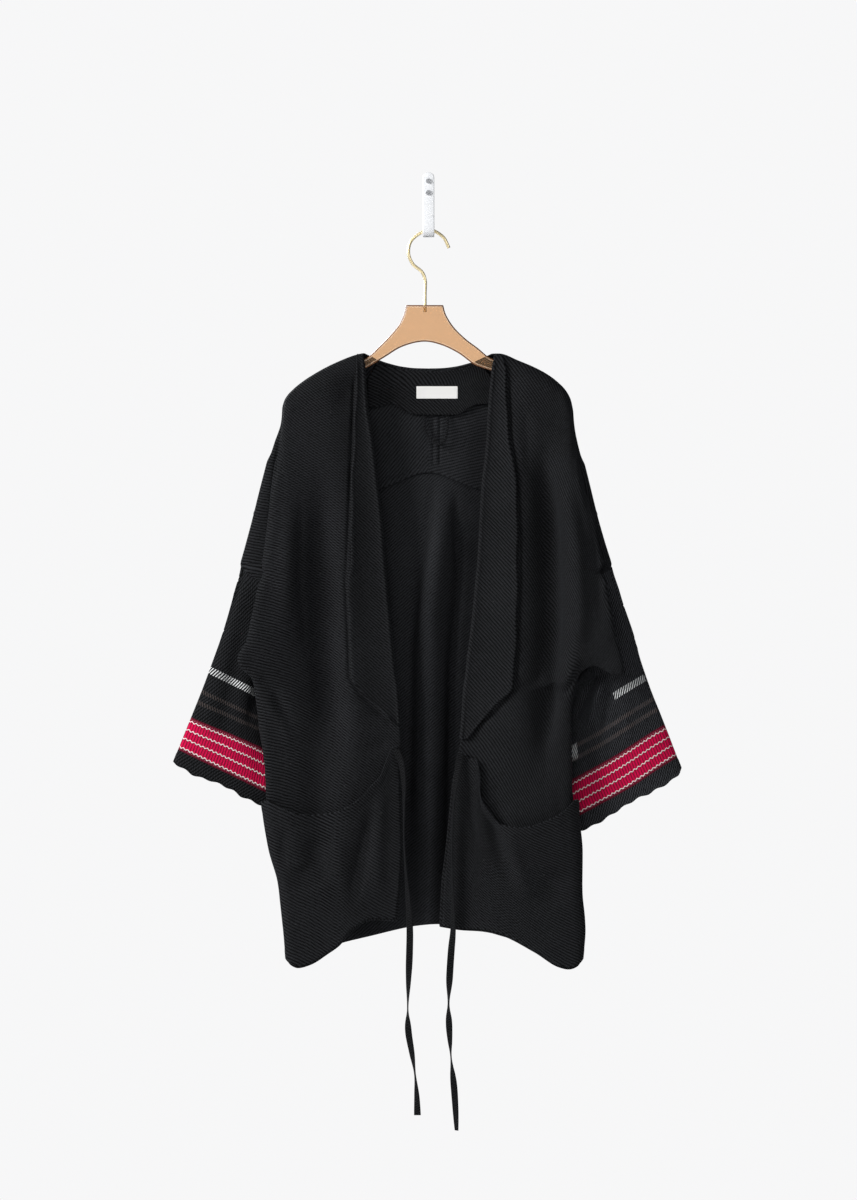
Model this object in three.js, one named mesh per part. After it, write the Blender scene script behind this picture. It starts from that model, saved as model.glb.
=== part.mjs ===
// Open-front chore jacket on an acrylic hanger, hung from a steel wall hook.
// Millimetres. +X is across the wall, +Y goes into the wall, +Z is up.
// The origin is on the back face of the wall hook's plate, where it meets the wall.
// Tables use two words of their own: "drop" is the height below the origin, and
// "off" is the distance in front of the wall. A point is (x, -off, -drop).
import * as THREE from 'three';
import { mergeVertices } from 'three/addons/utils/BufferGeometryUtils.js';

// ---------- driving sizes ----------
const clothWall = 2.0;         // thick twill
const trimWall = 1.6;          // ties, loop
const labelWall = 1.0;
const seamHalfGap = 0.2;       // half of the space left between two sewn pieces
const lapGap = 0.5;            // space between a piece and what it lies on
const seamOff = 42;            // shoulder seam, over the middle of the hanger plate
const neckDrop = 237;          // highest point of the shoulders
const shoulderRound = 26;      // how far down the cloth takes to come round the shoulder seam
const slopeEnds = 490;         // rows of cloth are level from here down
const hemLevel = 1060;         // front hem at the front edge
const hemCurveStarts = 860;
const yokeDrop = 402;          // yoke seam at the centre back
const tieWidth = 10;
const hookWire = 4.6;
const plateThick = 8;
const strapThick = 2.5;
const strapWidth = 17;

// ---------- tables ----------
function table(columns, rows) {
  return rows.map((row) => Object.fromEntries(columns.map((name, i) => [name, row[i]])));
}

// Smooth value of one column, by the first column, with no overshoot between rows.
function read(rows, column, at) {
  const key = Object.keys(rows[0])[0];
  const last = rows.length - 1;
  if (at <= rows[0][key]) return rows[0][column];
  if (at >= rows[last][key]) return rows[last][column];
  let i = 0;
  while (rows[i + 1][key] < at) i += 1;
  const slope = (k) => (rows[k + 1][column] - rows[k][column]) / (rows[k + 1][key] - rows[k][key]);
  const tangent = (k) => {
    if (k === 0) return slope(0);
    if (k === last) return slope(last - 1);
    const a = slope(k - 1);
    const b = slope(k);
    return a * b <= 0 ? 0 : (2 * a * b) / (a + b);
  };
  const span = rows[i + 1][key] - rows[i][key];
  const t = (at - rows[i][key]) / span;
  const rise = rows[i + 1][column] - rows[i][column];
  const a = tangent(i) * span;
  const b = tangent(i + 1) * span;
  return rows[i][column] + a * t + (3 * rise - 2 * a - b) * t * t + (a + b - 2 * rise) * t * t * t;
}

// Each side of the jacket: "right" is the wearer's right, on -X.
// edge: front edge or lapel fold. ridge: outermost line of the front, which stands
// over the sleeve. tuck: where the cloth turns out again under the ridge.
// outer: sleeve top, then armhole seam, then side seam.
const sectionColumns = ['drop', 'edge', 'ridge', 'tuck', 'outer', 'outerOff'];
const sides = {
  right: {
    sign: -1,
    shoulder: table(['x', 'drop'], [
      [92, 237], [102, 239], [136, 252], [174, 273], [196, 290], [207, 303], [212, 317],
    ]),
    sections: table(sectionColumns, [
      [237, 96, 204, 207, 209, 42], [317, 91, 206, 209, 212, 42], [355, 85, 215, 215, 223, 42],
      [431, 76, 226, 220, 243, 42], [483, 70, 231, 220, 256, 42], [548, 65, 239, 221, 274, 42],
      [600, 60, 250, 231, 219, 60], [652, 55, 262, 240, 214, 58], [681, 52, 276, 256, 227, 48],
      [700, 50, 266, 256, 241, 41], [715, 47, 255, 252, 246, 44], [754, 44, 248, 247, 245, 50],
      [834, 40, 235, 234, 232, 50], [896, 38, 232, 231, 229, 50], [951, 37, 225, 224, 222, 50],
      [1003, 40, 212, 211, 209, 50], [1057, 45, 206, 205, 203, 50], [1125, 45, 199, 198, 196, 50],
    ]),
    depths: table(['drop', 'edgeOff', 'midOff', 'ridgeOff', 'tuckOff', 'sleeveOff'], [
      [237, 50, 57, 55, 51, 48], [317, 52, 60, 58, 52, 49], [420, 53, 63, 64, 54, 51],
      [548, 54, 66, 74, 62, 56], [600, 55, 67, 79, 69, 60], [652, 56, 68, 82, 70, 60],
      [681, 56, 68, 81, 68, 54], [700, 56, 67, 78, 62, 46], [740, 56, 66, 70, 58, 52],
      [820, 57, 66, 68, 58, 54], [950, 58, 68, 70, 58, 54], [1125, 58, 70, 72, 58, 54],
    ]),
    folds: table(['x', 'from', 'to', 'width', 'push'], [
      [157, 440, 1010, 26, -8], [208, 330, 700, 20, 4], [112, 640, 900, 22, 3], [101, 905, 1040, 14, -8],
    ]),
    hem: table(['x', 'drop'], [
      [44, 1058], [80, 1056], [111, 1071], [128, 1092], [146, 1105], [170, 1120], [189, 1125], [199, 1121],
      [206, 1108],
    ]),
    seam: table(['step', 'x', 'backX', 'drop', 'frontOff', 'backOff'], [
      [0, 274, 274, 548, 42, 42], [1, 259, 260, 557, 53, 28], [2, 244, 249, 567, 57, 22],
      [3, 232, 242, 579, 59, 19], [4, 221, 237, 597, 60, 17], [5, 214, 236, 622, 60, 17],
      [6, 214, 236, 650, 58, 19], [7, 223, 238, 676, 52, 25], [8, 241, 241, 700, 41, 41],
    ]),
    sleeve: table(['along', 'topX', 'topDrop', 'topOff', 'underX', 'underDrop', 'underOff', 'half'], [
      [0, 274, 548, 42, 241, 700, 38, 16], [0.04, 276, 558, 40, 257, 706, 28, 12],
      [0.1, 280, 573, 37, 249, 722, 19, 10], [0.3, 293, 622, 36, 236, 764, 16, 13],
      [0.6, 320, 706, 36, 225, 832, 15, 15], [1, 369, 829, 30, 211, 908, 14, 13],
    ]),
    lapel: table(['drop', 'free'], [
      [241, 101], [278, 103], [355, 107], [431, 110], [544, 114], [563, 116], [647, 112], [708, 110],
      [726, 95], [751, 70], [774, 49],
    ]),
    pocket: table(['x', 'drop'], [
      [48, 806], [54, 812], [63, 832], [70, 848], [85, 864], [112, 890], [140, 904], [173, 907],
      [201, 902], [228, 886],
    ]),
    tie: table(['x', 'off', 'drop', 'turn'], [
      [47, 68, 811, 0], [40, 72, 828, 20], [36, 73, 856, 50], [35.5, 73, 900, 75], [35.5, 73, 936, 80],
      [33, 73, 985, 70], [29, 73, 1035, 40], [27, 72, 1071, 15], [27.5, 70, 1106, 5], [29, 67, 1146, 45],
      [30, 65, 1185, 85], [29, 63, 1219, 15], [24, 61, 1250, 40], [19.6, 60, 1280, 80], [17, 59, 1310, 45],
      [16, 58, 1340, 10],
    ]),
  },
  left: {
    sign: 1,
    shoulder: table(['x', 'drop'], [
      [91, 238], [102, 238], [130, 248], [167, 265], [194, 286], [205, 303], [209, 320],
    ]),
    sections: table(sectionColumns, [
      [237, 97, 201, 204, 206, 42], [317, 90, 204, 207, 210, 42], [368, 87, 213, 213, 219, 42],
      [431, 80, 225, 219, 234, 42], [483, 77, 238, 224, 247, 42], [548, 73, 251, 230, 268, 42],
      [600, 68, 259, 234, 214, 60], [652, 62, 269, 236, 205, 58], [681, 58, 278, 240, 206, 48],
      [703, 56, 282, 236, 213, 41], [709, 55, 279, 232, 213, 43], [717, 54, 250, 224, 211, 45],
      [726, 53, 212, 210, 208, 47], [745, 52, 207, 206, 204, 48], [795, 48, 205, 204, 202, 50],
      [861, 35, 205, 204, 202, 50], [911, 30, 209, 208, 206, 50], [961, 25, 215, 214, 212, 50],
      [1016, 19, 216, 215, 213, 50], [1082, 17, 221, 220, 218, 50], [1125, 17, 216, 215, 213, 50],
    ]),
    depths: table(['drop', 'edgeOff', 'midOff', 'ridgeOff', 'tuckOff', 'sleeveOff'], [
      [237, 50, 57, 55, 51, 48], [317, 52, 60, 58, 52, 49], [420, 53, 63, 66, 54, 51],
      [548, 54, 65, 77, 63, 56], [600, 55, 66, 82, 70, 60], [652, 56, 66, 85, 72, 60],
      [681, 56, 66, 85, 71, 54], [700, 56, 66, 84, 68, 46], [720, 56, 66, 76, 60, 50],
      [745, 56, 66, 69, 58, 53], [820, 57, 66, 68, 58, 54], [950, 58, 68, 70, 58, 54],
      [1125, 58, 70, 72, 58, 54],
    ]),
    folds: table(['x', 'from', 'to', 'width', 'push'], [
      [168, 330, 880, 20, -13], [206, 340, 700, 16, 3], [100, 830, 1030, 18, -8], [136, 960, 1090, 20, 4],
    ]),
    hem: table(['x', 'drop'], [
      [16, 1066], [50, 1071], [73, 1072], [102, 1077], [153, 1102], [189, 1124], [203, 1127], [215, 1123],
      [221, 1112],
    ]),
    seam: table(['step', 'x', 'backX', 'drop', 'frontOff', 'backOff'], [
      [0, 268, 268, 548, 42, 42], [1, 255, 257, 554, 53, 28], [2, 242, 246, 562, 57, 22],
      [3, 229, 236, 575, 59, 19], [4, 217, 226, 594, 60, 17], [5, 209, 218, 620, 60, 17],
      [6, 205, 212, 650, 58, 19], [7, 206, 210, 679, 52, 25], [8, 213, 213, 703, 41, 41],
    ]),
    sleeve: table(['along', 'topX', 'topDrop', 'topOff', 'underX', 'underDrop', 'underOff', 'half'], [
      [0, 268, 548, 42, 213, 703, 38, 16], [0.04, 271, 560, 40, 224, 708, 29, 12],
      [0.1, 277, 578, 36, 221, 725, 19, 9], [0.18, 284, 602, 34, 214, 746, 16, 9],
      [0.3, 296, 638, 35, 207, 778, 16, 12], [0.6, 320, 714, 35, 200, 846, 15, 15],
      [1, 366, 838, 30, 208, 926, 15, 13],
    ]),
    lapel: table(['drop', 'free'], [
      [241, 103], [265, 110], [307, 112], [345, 114], [393, 121], [468, 127], [544, 129], [618, 126],
      [721, 121], [746, 97], [771, 75], [795, 56],
    ]),
    pocket: table(['x', 'drop'], [
      [46, 816], [53, 824], [66, 826], [75, 846], [81, 885], [94, 906], [114, 921], [133, 924],
      [172, 912], [194, 899], [205, 885],
    ]),
    tie: table(['x', 'off', 'drop', 'turn'], [
      [47, 68, 816, 0], [41, 72, 848, 30], [38, 73, 870, 60], [35.5, 73, 900, 78], [34, 73, 942, 80],
      [34, 73, 985, 75], [35, 73, 1030, 65], [35.5, 72, 1071, 40], [33, 70, 1100, 10], [31, 68, 1130, 0],
      [29, 66, 1177, 80], [29.7, 64, 1208, 20], [31, 62, 1232, 50], [32.6, 61, 1256, 85], [37, 60, 1300, 15],
      [39, 59, 1330, 30], [40.6, 58, 1362, 60],
    ]),
  },
};

// Back panel, both sides alike but for the outlines, which come from the fronts.
const backDepths = table(['drop', 'centreOff', 'sideOff'], [
  [237, 24, 26], [317, 18, 22], [420, 14, 16], [548, 13, 14], [660, 12, 18], [685, 12, 32], [697, 12, 39],
  [740, 12, 40], [860, 12, 39], [1125, 12, 38],
]);
const backNeck = table(['x', 'drop'], [
  [0, 260], [40, 260], [54, 255], [67, 250], [92, 238],
]);
const backHem = table(['x', 'drop'], [
  [-205, 1104], [-190, 1112], [-131, 1093], [-89, 1083], [-38, 1071], [8, 1064], [40, 1067],
  [120, 1086], [190, 1112], [218, 1104],
]);
const backFolds = table(['x', 'from', 'to', 'width', 'push'], [
  [2, 404, 1300, 12, 15], [-22, 440, 1300, 14, -4], [34, 420, 1300, 13, 4], [52, 430, 1300, 12, -4],
  [-70, 560, 1300, 30, 5], [-150, 640, 1300, 26, -4], [110, 600, 1300, 30, 5], [160, 700, 1300, 24, -4],
]);

// ---------- small maths ----------
const mix = (a, b, t) => a + (b - a) * t;
const clamp = (v, low, high) => Math.min(high, Math.max(low, v));
const ease = (t) => {
  const c = clamp(t, 0, 1);
  return c * c * (3 - 2 * c);
};
// 0 at the seam, 1 once the cloth has come round it.
const roundOver = (distance, radius) => {
  const t = clamp(distance / radius, 0, 1);
  return Math.sqrt(1 - (1 - t) * (1 - t));
};

function foldPush(folds, x, drop) {
  let push = 0;
  for (const fold of folds) {
    const across = (x - fold.x) / fold.width;
    const start = ease((drop - fold.from) / 120);
    const end = ease((fold.to - drop) / 120);
    push += fold.push * Math.exp(-across * across) * start * end;
  }
  return push;
}

// Smooth curve with these control points, at t from 0 to 1 (uniform cubic B-spline with held ends).
function spline(points, t) {
  const held = [points[0], points[0], ...points, points.at(-1), points.at(-1)];
  const spans = held.length - 3;
  const at = clamp(t, 0, 1) * spans;
  const i = Math.min(Math.floor(at), spans - 1);
  const u = at - i;
  const weights = [
    (1 - u) ** 3 / 6,
    (3 * u ** 3 - 6 * u * u + 4) / 6,
    (-3 * u ** 3 + 3 * u * u + 3 * u + 1) / 6,
    u ** 3 / 6,
  ];
  return [0, 1].map((axis) => weights.reduce((sum, w, k) => sum + w * held[i + k][axis], 0));
}

const place = (x, off, drop) => new THREE.Vector3(x, -off, -drop);

// ---------- walls ----------
// Turns a grid of points into a closed wall of cloth. loop joins the last column to the first;
// upright(i, j) marks seam points whose wall edge stays square to the wall of the room.
function wallFromGrid(grid, thickness, { loop = false, upright = () => false } = {}) {
  const rows = grid.length;
  const cols = grid[0].length;
  const at = (i, j) => grid[clamp(i, 0, rows - 1)][loop ? (j + cols) % cols : clamp(j, 0, cols - 1)];
  const front = [];
  const back = [];
  for (let i = 0; i < rows; i += 1) {
    for (let j = 0; j < cols; j += 1) {
      const down = at(i + 1, j).clone().sub(at(i - 1, j));
      const across = at(i, j + 1).clone().sub(at(i, j - 1));
      const normal = across.cross(down);
      if (upright(i, j)) normal.y = 0;
      normal.setLength(thickness / 2);
      front.push(grid[i][j].clone().add(normal));
      back.push(grid[i][j].clone().sub(normal));
    }
  }
  const points = [...front, ...back];
  const shift = rows * cols;
  const id = (i, j) => i * cols + (loop ? (j + cols) % cols : j);
  const faces = [];
  const quad = (a, b, c, d) => faces.push([a, b, c], [a, c, d]);
  const lastCol = loop ? cols : cols - 1;
  for (let i = 0; i < rows - 1; i += 1) {
    for (let j = 0; j < lastCol; j += 1) {
      quad(id(i, j), id(i + 1, j), id(i + 1, j + 1), id(i, j + 1));
      quad(shift + id(i, j), shift + id(i, j + 1), shift + id(i + 1, j + 1), shift + id(i + 1, j));
    }
  }
  for (let j = 0; j < lastCol; j += 1) {
    quad(id(0, j + 1), shift + id(0, j + 1), shift + id(0, j), id(0, j));
    const end = rows - 1;
    quad(id(end, j), shift + id(end, j), shift + id(end, j + 1), id(end, j + 1));
  }
  if (!loop) {
    for (let i = 0; i < rows - 1; i += 1) {
      quad(id(i, 0), shift + id(i, 0), shift + id(i + 1, 0), id(i + 1, 0));
      quad(id(i + 1, cols - 1), shift + id(i + 1, cols - 1), shift + id(i, cols - 1), id(i, cols - 1));
    }
  }
  return solidFrom(points, faces);
}

// Closed mesh from points and triangles, turned so that its faces point out.
function solidFrom(points, faces) {
  let volume = 0;
  for (const [a, b, c] of faces) volume += points[a].dot(points[b].clone().cross(points[c])) / 6;
  const geometry = new THREE.BufferGeometry();
  geometry.setAttribute('position', new THREE.Float32BufferAttribute(points.flatMap((p) => p.toArray()), 3));
  geometry.setIndex(faces.flatMap(([a, b, c]) => (volume > 0 ? [a, b, c] : [a, c, b])));
  return geometry;
}

function plainSolid(geometry) {
  geometry.deleteAttribute('normal');
  geometry.deleteAttribute('uv');
  return mergeVertices(geometry, 1e-4);
}

// ---------- where the cloth lies ----------
const slopeShare = (level) => 1 - ease((level - neckDrop) / (slopeEnds - neckDrop));
const hemShare = (level) => ease((level - hemCurveStarts) / (hemLevel - hemCurveStarts));

// Drop of a row of cloth at x. The first row follows the shoulder, the last one the hem.
function frontDrop(side, level, x) {
  const shoulder = (read(side.shoulder, 'drop', x) - neckDrop) * slopeShare(level);
  const hem = (read(side.hem, 'drop', x) - hemLevel) * hemShare(level);
  return level + shoulder + hem;
}

function frontOff(side, x, drop) {
  const edge = read(side.sections, 'edge', drop);
  const ridge = read(side.sections, 'ridge', drop);
  const edgeOff = read(side.depths, 'edgeOff', drop);
  const midOff = read(side.depths, 'midOff', drop);
  const ridgeOff = read(side.depths, 'ridgeOff', drop);
  const u = clamp((x - edge) / (ridge - edge), 0, 1);
  const plain = u < 0.5 ? mix(edgeOff, midOff, ease(u * 2)) : mix(midOff, ridgeOff, ease(u * 2 - 1));
  const off = plain + foldPush(side.folds, x, drop);
  const below = drop - read(side.shoulder, 'drop', x);
  return mix(seamOff + seamHalfGap, off, roundOver(below, shoulderRound));
}

// Levels of the rows that the front and the back share, from the armhole down to the hem.
// The nine rows at the armhole meet the sleeve's seam points.
const lipLevels = { right: [704, 709, 715, 722, 731, 744], left: [706, 710, 714, 719, 726, 738] };
const skirtLevels = [765, 810, 860, 915, 970, 1020, hemLevel];

function lowerLevels(side) {
  const armhole = side.seam.map((row) => row.drop);
  return [...armhole, ...lipLevels[side.sign < 0 ? 'right' : 'left'], ...skirtLevels];
}

const panelShare = 0.5;        // share of a row that runs flat across the panel
const turnWidth = 16;

// The part of a row beyond the flat panel: round the ridge, into the tuck and out again.
function turnControl(side, level, end, reach) {
  const ridge = read(side.sections, 'ridge', reach);
  const tuck = read(side.sections, 'tuck', reach);
  const outer = end ? end.x : read(side.sections, 'outer', reach);
  const outerOff = (end ? end.frontOff : read(side.sections, 'outerOff', reach)) + seamHalfGap;
  const over = roundOver(level - neckDrop, shoulderRound);
  const tuckOff = Math.max(mix(seamOff, read(side.depths, 'tuckOff', reach), over), outerOff);
  const sleeveOff = Math.max(mix(seamOff, read(side.depths, 'sleeveOff', reach), over), outerOff);
  const start = ridge - turnWidth;
  const startOff = frontOff(side, start, frontDrop(side, level, start));
  return [
    [start, startOff],
    [ridge - 7, startOff + 1],
    [ridge + 2, mix(startOff, tuckOff, 0.15)],
    [ridge + 2, mix(startOff, tuckOff, 0.7)],
    [mix(ridge, tuck, 0.6), tuckOff],
    [tuck, mix(tuckOff, sleeveOff, 0.5)],
    [mix(tuck, outer, 0.4), sleeveOff],
    [mix(tuck, outer, 0.85), sleeveOff],
    [outer, mix(sleeveOff, outerOff, 0.5)],
    [outer, outerOff],
  ];
}

// Point of a front: level says which row, share runs from the front edge to the outer seam.
function frontPoint(side, level, share) {
  const end = side.seam.find((row) => row.drop === level);
  const sideX = read(side.sections, 'ridge', Math.max(level, 317));
  const reach = frontDrop(side, level, sideX);
  const ridge = read(side.sections, 'ridge', reach);
  if (share <= panelShare) {
    const edge = read(side.sections, 'edge', frontDrop(side, level, 60));
    const x = mix(edge, ridge - turnWidth, share / panelShare);
    const drop = frontDrop(side, level, x);
    return place(side.sign * x, frontOff(side, x, drop), drop);
  }
  const turn = (share - panelShare) / (1 - panelShare);
  const [x, off] = spline(turnControl(side, level, end, reach), turn);
  const drop = end && share === 1 ? end.drop : frontDrop(side, level, Math.min(x, ridge));
  return place(side.sign * x, off, drop);
}

// A point that lies on a front, moved out of it by a distance.
function onFront(side, level, share, distance) {
  const at = frontPoint(side, level, share);
  const across = frontPoint(side, level, share + 0.01).sub(frontPoint(side, level, share - 0.01));
  const down = frontPoint(side, level + 2, share).sub(frontPoint(side, level - 2, share));
  const normal = across.cross(down).multiplyScalar(-side.sign);
  return at.add(normal.setLength(distance));
}

// Row of cloth that reaches a drop at x.
function levelAt(side, x, drop) {
  let level = drop;
  for (let i = 0; i < 12; i += 1) level += drop - frontDrop(side, level, x);
  return level;
}

// ---------- fronts ----------
const frontUpper = [237, 239.5, 245, 256, 276, 305, 345, 395, 445, 500];
const panelSteps = 9;
const turnSteps = 10;
const frontShares = [
  ...Array.from({ length: panelSteps }, (_, j) => (panelShare * j) / panelSteps),
  ...Array.from({ length: turnSteps + 1 }, (_, j) => mix(panelShare, 1, j / turnSteps)),
];

function frontPanel(side) {
  const levels = [...frontUpper, ...lowerLevels(side)];
  const grid = levels.map((level) => frontShares.map((share) => frontPoint(side, level, share)));
  const lastCol = grid[0].length - 1;
  const first = side.seam[0].drop;
  const last = side.seam.at(-1).drop;
  const upright = (i, j) => i === 0 || (j === lastCol && (levels[i] <= first || levels[i] >= last));
  return wallFromGrid(grid, clothWall, { upright });
}

// ---------- back ----------
function backOff(x, drop) {
  const half = Math.abs(x);
  const side = x < 0 ? sides.right : sides.left;
  const reach = read(side.sections, 'ridge', drop);
  const sideShare = ease((half - (reach - 120)) / 100);
  const plain = mix(read(backDepths, 'centreOff', drop), read(backDepths, 'sideOff', drop), sideShare);
  const off = plain + foldPush(backFolds, x, drop) * (1 - sideShare);
  const neckLift = 10 * (1 - ease((half - 60) / 32));
  const below = drop - backTop(x) + neckLift;
  return mix(seamOff, off, roundOver(below, shoulderRound + 4));
}

function backTop(x) {
  const side = x < 0 ? sides.right : sides.left;
  const half = Math.abs(x);
  return half < side.shoulder[0].x ? read(backNeck, 'drop', half) : read(side.shoulder, 'drop', half);
}

// Drop of a row of the back at x. Level 237 follows the neck and shoulders, hemLevel the hem.
function backDrop(level, x) {
  const top = (backTop(x) - neckDrop) * slopeShare(level);
  const hem = (read(backHem, 'drop', x) - hemLevel) * hemShare(level);
  const half = Math.abs(x);
  const dip = 30 * ease(half / 90) + 16 * ease((half - 90) / 130);
  const dipShare = level < yokeDrop ? ease((level - 270) / (yokeDrop - 270)) : ease((540 - level) / 138);
  return level + top + hem + dip * dipShare;
}

const backColumns = 9;
const backTurnColumns = 4;
const backTurnWidth = 22;      // across the curve that brings the back forward to the side seam

// One row of the back on one side, from the centre out to the seam.
function backHalfRow(side, level, centreGap) {
  const end = side.seam.find((row) => row.drop === level);
  const sideX = read(side.sections, 'ridge', Math.max(level, 317));
  const reach = backDrop(level, side.sign * sideX);
  const outer = end ? end.backX : read(side.sections, 'outer', reach);
  const outerOff = (end ? end.backOff : read(side.sections, 'outerOff', reach)) - seamHalfGap;
  const turnStart = outer - backTurnWidth;
  const row = [];
  for (let j = 0; j <= backColumns; j += 1) {
    const x = side.sign * mix(centreGap, turnStart, j / backColumns);
    const drop = backDrop(level, x);
    row.push(place(x, Math.min(backOff(x, drop), outerOff), drop));
  }
  const startOff = -row.at(-1).y;
  for (let j = 1; j <= backTurnColumns; j += 1) {
    const angle = (Math.PI / 2) * (j / backTurnColumns);
    const x = mix(turnStart, outer, Math.sin(angle));
    const off = mix(outerOff, startOff, Math.cos(angle));
    const drop = end && j === backTurnColumns ? end.drop : backDrop(level, side.sign * Math.min(x, sideX));
    row.push(place(side.sign * x, off, drop));
  }
  return row;
}

function backYoke(side) {
  const levels = [237, 239.5, 245, 256, 280, 310, 340, 370, yokeDrop - 2 * seamHalfGap];
  const grid = levels.map((level) => backHalfRow(side, level, seamHalfGap));
  const lastCol = grid[0].length - 1;
  const upright = (i, j) => j === lastCol || (i === 0 && Math.abs(grid[i][j].x) > 92);
  return wallFromGrid(grid, clothWall, { upright });
}

function backBody() {
  const upper = [yokeDrop + 2 * seamHalfGap, 430, 465, 505];
  const rightLevels = [...upper, ...lowerLevels(sides.right)];
  const leftLevels = [...upper, ...lowerLevels(sides.left)];
  const grid = rightLevels.map((rightLevel, i) => {
    const leftLevel = leftLevels[i];
    const right = backHalfRow(sides.right, rightLevel, 0);
    const left = backHalfRow(sides.left, leftLevel, 0);
    return [...right.reverse(), ...left.slice(1)];
  });
  const lastCol = grid[0].length - 1;
  const atArmhole = (i) => i > upper.length && i < upper.length + sides.right.seam.length - 1;
  const upright = (i, j) => (j === 0 || j === lastCol) && !atArmhole(i);
  return wallFromGrid(grid, clothWall, { upright });
}

// ---------- sleeves ----------
const ringSteps = 8;

// Point of a sleeve's ring: step 0 is the top, 8 the underarm; face is 1 in front, -1 behind.
function sleevePoint(side, along, step, face) {
  const angle = (Math.PI * step) / ringSteps;
  const share = (1 - Math.cos(angle)) / 2;
  const ring = (at) => {
    const value = (column) => read(side.sleeve, column, at);
    return [
      mix(value('topX'), value('underX'), share),
      mix(value('topOff'), value('underOff'), share) + face * value('half') * Math.sin(angle),
      mix(value('topDrop'), value('underDrop'), share),
    ];
  };
  const plain = ring(along);
  const start = ring(0);
  const seam = side.seam[step];
  const inset = clothWall + lapGap;
  const depth = face > 0 ? seam.frontOff : seam.backOff;
  const nearArmpit = ease((step - 4) / 3);
  const ends = [
    face > 0 ? seam.x : seam.backX + 2.5 * nearArmpit,
    depth - face * inset * (1 + 0.6 * nearArmpit),
    seam.drop,
  ];
  if (step === 0) ends.splice(0, 3, seam.x - inset, seamOff, seam.drop + inset);
  if (step === ringSteps) ends.splice(0, 3, seam.x + 2.4 * inset, depth - 0.5, seam.drop - 2.4 * inset);
  const keep = (1 - along) ** (2.5 + 32 * nearArmpit);
  const [x, off, drop] = plain.map((value, k) => value + (ends[k] - start[k]) * keep);
  return place(side.sign * x, off, drop);
}

function sleeve(side) {
  const stations = [0, 0.05, 0.09, 0.13, 0.19, 0.25, 0.4, 0.55, 0.7, 0.85, 1];
  const grid = stations.map((along) => {
    const ring = [];
    for (let step = 0; step <= ringSteps; step += 1) ring.push(sleevePoint(side, along, step, 1));
    for (let step = ringSteps - 1; step > 0; step -= 1) ring.push(sleevePoint(side, along, step, -1));
    return ring;
  });
  return wallFromGrid(grid, clothWall, { loop: true });
}

// ---------- what lies on the fronts ----------
function lapel(side) {
  const end = side.lapel.at(-1).drop;
  const corner = side.lapel.at(-4).drop;
  const upper = [241, 247, 256, 270, 295, 330, 370, 420, 480, 550, 615, 670];
  const lower = [0, 0.12, 0.35, 0.7, 1].map((t) => mix(corner, end, t));
  const grid = [...upper, ...lower].map((drop) => {
    const edge = read(side.sections, 'edge', drop);
    const ridge = read(side.sections, 'ridge', drop);
    const row = [];
    for (let j = 0; j <= 4; j += 1) {
      const x = mix(edge, read(side.lapel, 'free', drop), j / 4);
      const share = Math.max((panelShare * (x - edge)) / (ridge - turnWidth - edge), 0.011);
      row.push(onFront(side, levelAt(side, x, drop), share, clothWall + 2 * lapGap + 0.5 * j));
    }
    return row;
  });
  return wallFromGrid(grid, clothWall);
}

const pocketRows = 9;
const pocketGape = 10;         // how far the opening stands off the front
const pocketGap = 1.3;         // between the front and the rest of the pocket
const pocketShares = [0.015, ...frontShares.slice(1, 14)];   // from the front edge to the side

function pocket(side) {
  const grid = [];
  for (let i = 0; i <= pocketRows; i += 1) {
    const row = [];
    for (const share of pocketShares) {
      const guess = Math.abs(frontPoint(side, 850, share).x);
      const opening = levelAt(side, guess, read(side.pocket, 'drop', guess));
      const v = i / pocketRows;
      const level = mix(opening, hemLevel - 3, v);
      const gape = pocketGape * Math.sin((Math.PI * share) / pocketShares.at(-1)) * (1 - v) ** 2;
      row.push(onFront(side, level, share, clothWall + pocketGap + gape));
    }
    grid.push(row);
  }
  return wallFromGrid(grid, clothWall);
}

// Flat tape along a route; turn is how far its face is turned from the room, in degrees.
function tape(sign, route, width, thickness, stepsBetween) {
  const stops = route.map((row) => place(sign * row.x, row.off, row.drop));
  const curve = new THREE.CatmullRomCurve3(stops, false, 'centripetal');
  const count = (route.length - 1) * stepsBetween;
  const turns = route.map((row, step) => ({ step, turn: row.turn }));
  const points = [];
  const faces = [];
  for (let i = 0; i <= count; i += 1) {
    const at = curve.getPoint(i / count);
    const along = curve.getTangent(i / count);
    const turn = THREE.MathUtils.degToRad(read(turns, 'turn', i / stepsBetween));
    const across = new THREE.Vector3(0, -1, 0).cross(along).normalize();
    across.applyAxisAngle(along, turn).setLength(width / 2);
    const proud = across.clone().cross(along).setLength(thickness / 2);
    points.push(
      at.clone().add(across).add(proud),
      at.clone().sub(across).add(proud),
      at.clone().sub(across).sub(proud),
      at.clone().add(across).sub(proud),
    );
    if (i === 0) continue;
    const a = (i - 1) * 4;
    const b = i * 4;
    for (let k = 0; k < 4; k += 1) {
      const n = (k + 1) % 4;
      faces.push([a + k, a + n, b + n], [a + k, b + n, b + k]);
    }
  }
  const end = count * 4;
  faces.push([0, 2, 1], [0, 3, 2], [end, end + 1, end + 2], [end, end + 2, end + 3]);
  return solidFrom(points, faces);
}

// ---------- back neck ----------
const facingEdge = table(['x', 'drop'], [
  [-88, 314], [-68, 311], [-53, 307], [-43, 312], [-32, 319], [-20, 323], [0, 324], [38, 324],
  [50, 320], [59, 314], [70, 309], [90, 308],
]);

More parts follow.
